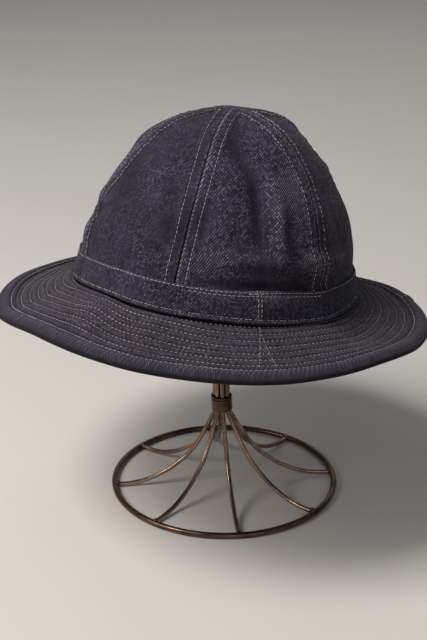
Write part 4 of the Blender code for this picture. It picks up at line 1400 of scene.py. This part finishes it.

# %% [markdown]
# ## Old iron
#
# The stand is drawn wire and bar, browned like antique iron: nearly black in places, with a
# reddish bronze sheen where hands have rubbed it, and less bronze, so darker, from the neck up
# than on the feet. Two materials use the finish, so it is a node group again, and it reads
# Object coordinates, because a bare bar has no pattern that would have to follow it.


# %% The iron group
def iron_group():
    """Patches of bronze on black-brown, with a slightly pitted surface."""
    tree, given, result = new_group(
        "browned iron",
        "ShaderNodeTree",
        {
            "Vector": ("Vector", (0, 0, 0)),
            "Dark": ("Color", (0.02, 0.015, 0.012, 1)),
            "Bronze": ("Color", (0.2, 0.12, 0.09, 1)),
            "Bronze share": ("Float", 0.5),
        },
        {"Color": "Color", "Roughness": "Float", "Height": "Float"},
    )
    flat = scaled(tree, given["Vector"], 1000.0)
    patches = noise_value(tree, flat, 16.0, 4.0, 0.6)
    fine = noise_value(tree, flat, 1.1, 3.0, 0.6)
    paler_share = maths(tree, "MULTIPLY", ranged(tree, patches, 0.28, 0.56), given["Bronze share"])
    paler_share = maths(tree, "MULTIPLY_ADD", ranged(tree, fine, 0.35, 0.65), 0.12, paler_share, clamp=True)
    pits = ranged(tree, noise_value(tree, flat, 0.7, 2.0), 0.34, 0.44)
    rough = maths(tree, "MULTIPLY_ADD", paler_share, -0.10, 0.30)
    fill(tree, result, {
        "Color": mixed(tree, paler_share, given["Dark"], given["Bronze"]),
        "Roughness": maths(tree, "ADD", rough, ranged(tree, fine, 0.3, 0.7, -0.05, 0.07)),
        "Height": maths(tree, "MULTIPLY_ADD", fine, 0.5, pits),
    })
    return tree


browned_iron = iron_group()
NECK_FROM, NECK_TO, NECK_BRONZE = 30 * MM, 52 * MM, 0.45        # heights, and how much of the bronze is left from there up


def iron(name, dark, bronze, paler_share):
    """An iron material."""
    made, tree, shader = principled(name, Metallic=0.92)
    where = add(tree, "ShaderNodeTexCoord").outputs["Object"]
    height = add(tree, "ShaderNodeSeparateXYZ", {0: where}).outputs[2]
    paler_share = ranged(tree, height, NECK_FROM, NECK_TO, paler_share, NECK_BRONZE * paler_share)
    values = {"Vector": where, "Dark": (*dark, 1), "Bronze": (*bronze, 1), "Bronze share": paler_share}
    plug_in(tree, shader, add(tree, "ShaderNodeGroup", values, node_tree=browned_iron), 0.4, 0.05 * MM)
    return made


ring_iron = iron("ring_iron", (0.026, 0.017, 0.012), (0.22, 0.140, 0.097), 0.6)
wire_iron = iron("wire_iron", (0.034, 0.022, 0.015), (0.46, 0.31, 0.22), 0.90)

# %% [markdown]
# ## The stand
#
# The stand is eight wires between two rings, gathered into a neck and held by a collar. Each
# wire is round bar along a path, which is what a second Geometry Nodes tree makes: a circle
# swept along a curve, with its ends capped. The paths repeat the ones that the measured wires
# follow. Where a wire is welded to a ring the metal has run into a small lump, and those
# lumps hide the hair's breadth that the measured wires stop short.

# %% Sizes of the stand
STAND_HEIGHT = 236.0 * MM
BASE_RADIUS, BASE_BAR = 75.0 * MM, 4.0 * MM
TOP_RADIUS, TOP_BAR = 45.0 * MM, 3.6 * MM
WIRES, WIRE, FIRST_WIRE = 8, 3.0 * MM, 7.0
STAND_LEAN = 1.8
COLLAR_FROM, COLLAR_LENGTH, COLLAR_WALL, BEAD = 55.3 * MM, 8.2 * MM, 0.9 * MM, 2.2 * MM
FLARE_HEIGHT = 50.0 * MM
FOOT_CURVE = table(
    "out up",
    (1.00, 0.000), (0.88, 0.004), (0.71, 0.045), (0.525, 0.150), (0.39, 0.270),
    (0.27, 0.410), (0.17, 0.590), (0.07, 0.820), (0.00, 1.000),
)
neck_radius = (WIRE + GAP) / 2 / math.sin(math.pi / WIRES)


def on_stand(azimuth, radius, height):
    """Points about the stand's leaning axis."""
    points = pointing(azimuth, radius, height)
    points[..., 0] += ring_middle.x - math.tan(math.radians(STAND_LEAN)) * points[..., 2]
    points[..., 1] += ring_middle.y
    return points


# %% The round bar tree
def bar_tree():
    """Sweeps a circle along edges."""
    tree, given, result = shape_tree("round bar", {"Thickness": ("Float", 3.0 * MM), "Sides": ("Int", 16)})
    path = add(tree, "GeometryNodeMeshToCurve", {0: given["Geometry"]}).outputs[0]
    give_shape(tree, swept(tree, path, given["Thickness"], given["Sides"]), given, result)
    return tree


round_bar = bar_tree()


def foot_path(reach, climb, steps=40):
    """A wire's path from a ring to the neck, as radii and heights."""
    rows = np.linspace(0, 1, len(FOOT_CURVE["out"]))
    share = np.linspace(0, 1, steps)
    out, up = curve_through(rows, FOOT_CURVE["out"]), curve_through(rows, FOOT_CURVE["up"])
    return neck_radius + out(share) * reach, up(share) * climb


def wire(number):
    """One wire: a foot, its length of the neck, and an arm to the top ring."""
    azimuth = FIRST_WIRE + 360.0 * number / WIRES
    low, high = BASE_BAR / 2, STAND_HEIGHT - TOP_BAR / 2
    foot_end, arm_end = BASE_RADIUS - BASE_BAR / 2 - GAP, TOP_RADIUS - TOP_BAR / 2 - GAP
    out, up = foot_path(foot_end - neck_radius, COLLAR_FROM - GAP - low)
    arm_out, arm_up = foot_path(arm_end - neck_radius, FLARE_HEIGHT)
    radius = np.concatenate([out, arm_out[::-1]])
    height = np.concatenate([low + up, (high - arm_up)[::-1]])
    name = f"stand_wire_{number + 1}"
    mesh = path_mesh(name, [(on_stand(azimuth, radius, height), False)])
    values = {"Thickness": WIRE, "Sides": 14, "Material": wire_iron}
    finish_piece(made_by(round_bar, name, mesh, values), "wire_iron", f"wire_{number + 1}")


def bar_ring(name, radius, bar, height, node):
    """A ring bent from round bar."""
    azimuth = np.linspace(0, 360, 145)[:-1]
    mesh = path_mesh(name, [(on_stand(azimuth, radius, height + 0 * azimuth), True)])
    values = {"Thickness": bar, "Sides": 16, "Material": ring_iron}
    finish_piece(made_by(round_bar, name, mesh, values), "ring_iron", node)


for number in range(WIRES):
    wire(number)
bar_ring("stand_base_ring", BASE_RADIUS, BASE_BAR, BASE_BAR / 2, "base_ring")
bar_ring("stand_top_ring", TOP_RADIUS, TOP_BAR, STAND_HEIGHT - TOP_BAR / 2, "top_ring")

# %% [markdown]
# ## Collar and welds
#
# The collar is a short tube pressed over the gathered wires, with a narrow ring above it. It is
# turned from an outline, as on a lathe. The welds are scattered by a third small tree: a lump
# on each joint, turned and pushed about by noise so that no two look alike.


# %% Collar
def turned(name, outline, sides, material):
    """A closed outline of (radius, height) turned about the stand's axis."""
    outline = np.array(outline)
    azimuth = np.arange(sides)[:, None] * 360.0 / sides
    points = on_stand(azimuth, outline[None, :, 0], outline[None, :, 1] + 0 * azimuth)
    mesh = bpy.data.meshes.new(name)
    mesh.from_pydata(points.reshape(-1, 3).tolist(), [], quads(sides, len(outline), sides)[2].tolist())
    return finish_mesh(name, mesh, material)


def collar_outline():
    """The collar's wall with rounded edges, a groove, and the bead above."""
    inner = neck_radius + WIRE / 2 + GAP
    outer, low, high = inner + COLLAR_WALL, COLLAR_FROM, COLLAR_FROM + COLLAR_LENGTH
    edge, quarter = 0.35 * MM, np.radians([0, 30, 60, 90])
    foot = [(outer - edge * (1 - math.sin(t)), low + edge * (1 - math.cos(t))) for t in quarter]
    lips = [(outer + 0.12 * MM, low + 1.1 * MM), (outer, low + 1.7 * MM), (outer, high - 1.7 * MM),
            (outer + 0.12 * MM, high - 1.1 * MM)]
    head = [(outer - edge * (1 - math.cos(t)), high - edge * (1 - math.sin(t))) for t in quarter]
    bead = [(outer - 0.5 * MM + 0.62 * MM * math.cos(t), high + BEAD / 2 * (1 + math.sin(t)))
            for t in np.radians(np.linspace(-80, 90, 9))]
    return [(inner, low)] + foot + lips + head + bead + [(inner, high + BEAD)]


finish_piece(turned("stand_collar", collar_outline(), 48, ring_iron), "ring_iron", "collar")


# %% Welds
def weld_tree():
    """Sets a small rough lump on each point."""
    tree, given, result = shape_tree("welds", {"Size": ("Float", 1.8 * MM), "Seed": ("Int", 5)})
    lump = add(tree, "GeometryNodeMeshIcoSphere", {"Radius": given["Size"], "Subdivisions": 3}).outputs[0]
    turns = {0: (0, 0, 0), 1: (6, 6, 6), "Seed": given["Seed"]}
    spin = add(tree, "FunctionNodeRandomValue", turns, data_type="FLOAT_VECTOR").outputs[0]
    placed = set_on(tree, given["Geometry"], lump, spin, random_between(tree, 0.85, 1.15, given["Seed"]))
    real = add(tree, "GeometryNodeRealizeInstances", {0: placed}).outputs[0]
    where = add(tree, "GeometryNodeInputPosition").outputs[0]
    rough = add(tree, "ShaderNodeTexNoise", {"Vector": where, "Scale": 520.0, "Detail": 1.0}).outputs["Fac"]
    most = maths(tree, "MULTIPLY", given["Size"], 0.9)
    push = maths(tree, "MULTIPLY", maths(tree, "SUBTRACT", rough, 0.5), most)
    offset = scaled(tree, add(tree, "GeometryNodeInputNormal").outputs[0], push)
    real = add(tree, "GeometryNodeSetPosition", {"Geometry": real, "Offset": offset}).outputs[0]
    give_shape(tree, real, given, result)
    return tree


WELD_SIZE = 1.8 * MM
WELD_LIFT = 0.5 * MM            # the welds sit a little high, clear of the floor


def welds():
    """A lump where each wire meets the base ring and the top ring."""
    azimuth = FIRST_WIRE + 360.0 * np.arange(WIRES) / WIRES
    low = on_stand(azimuth, BASE_RADIUS - BASE_BAR / 2, BASE_BAR / 2 + WELD_LIFT + 0 * azimuth)
    high = on_stand(azimuth, TOP_RADIUS - TOP_BAR / 2, STAND_HEIGHT - TOP_BAR / 2 + 0 * azimuth)
    mesh = bpy.data.meshes.new("welds")
    mesh.from_pydata(np.concatenate([low, high]).tolist(), [], [])
    values = {"Size": WELD_SIZE, "Seed": 5, "Material": ring_iron}
    finish_piece(made_by(weld_tree(), "stand_welds", mesh, values), "ring_iron")


welds()
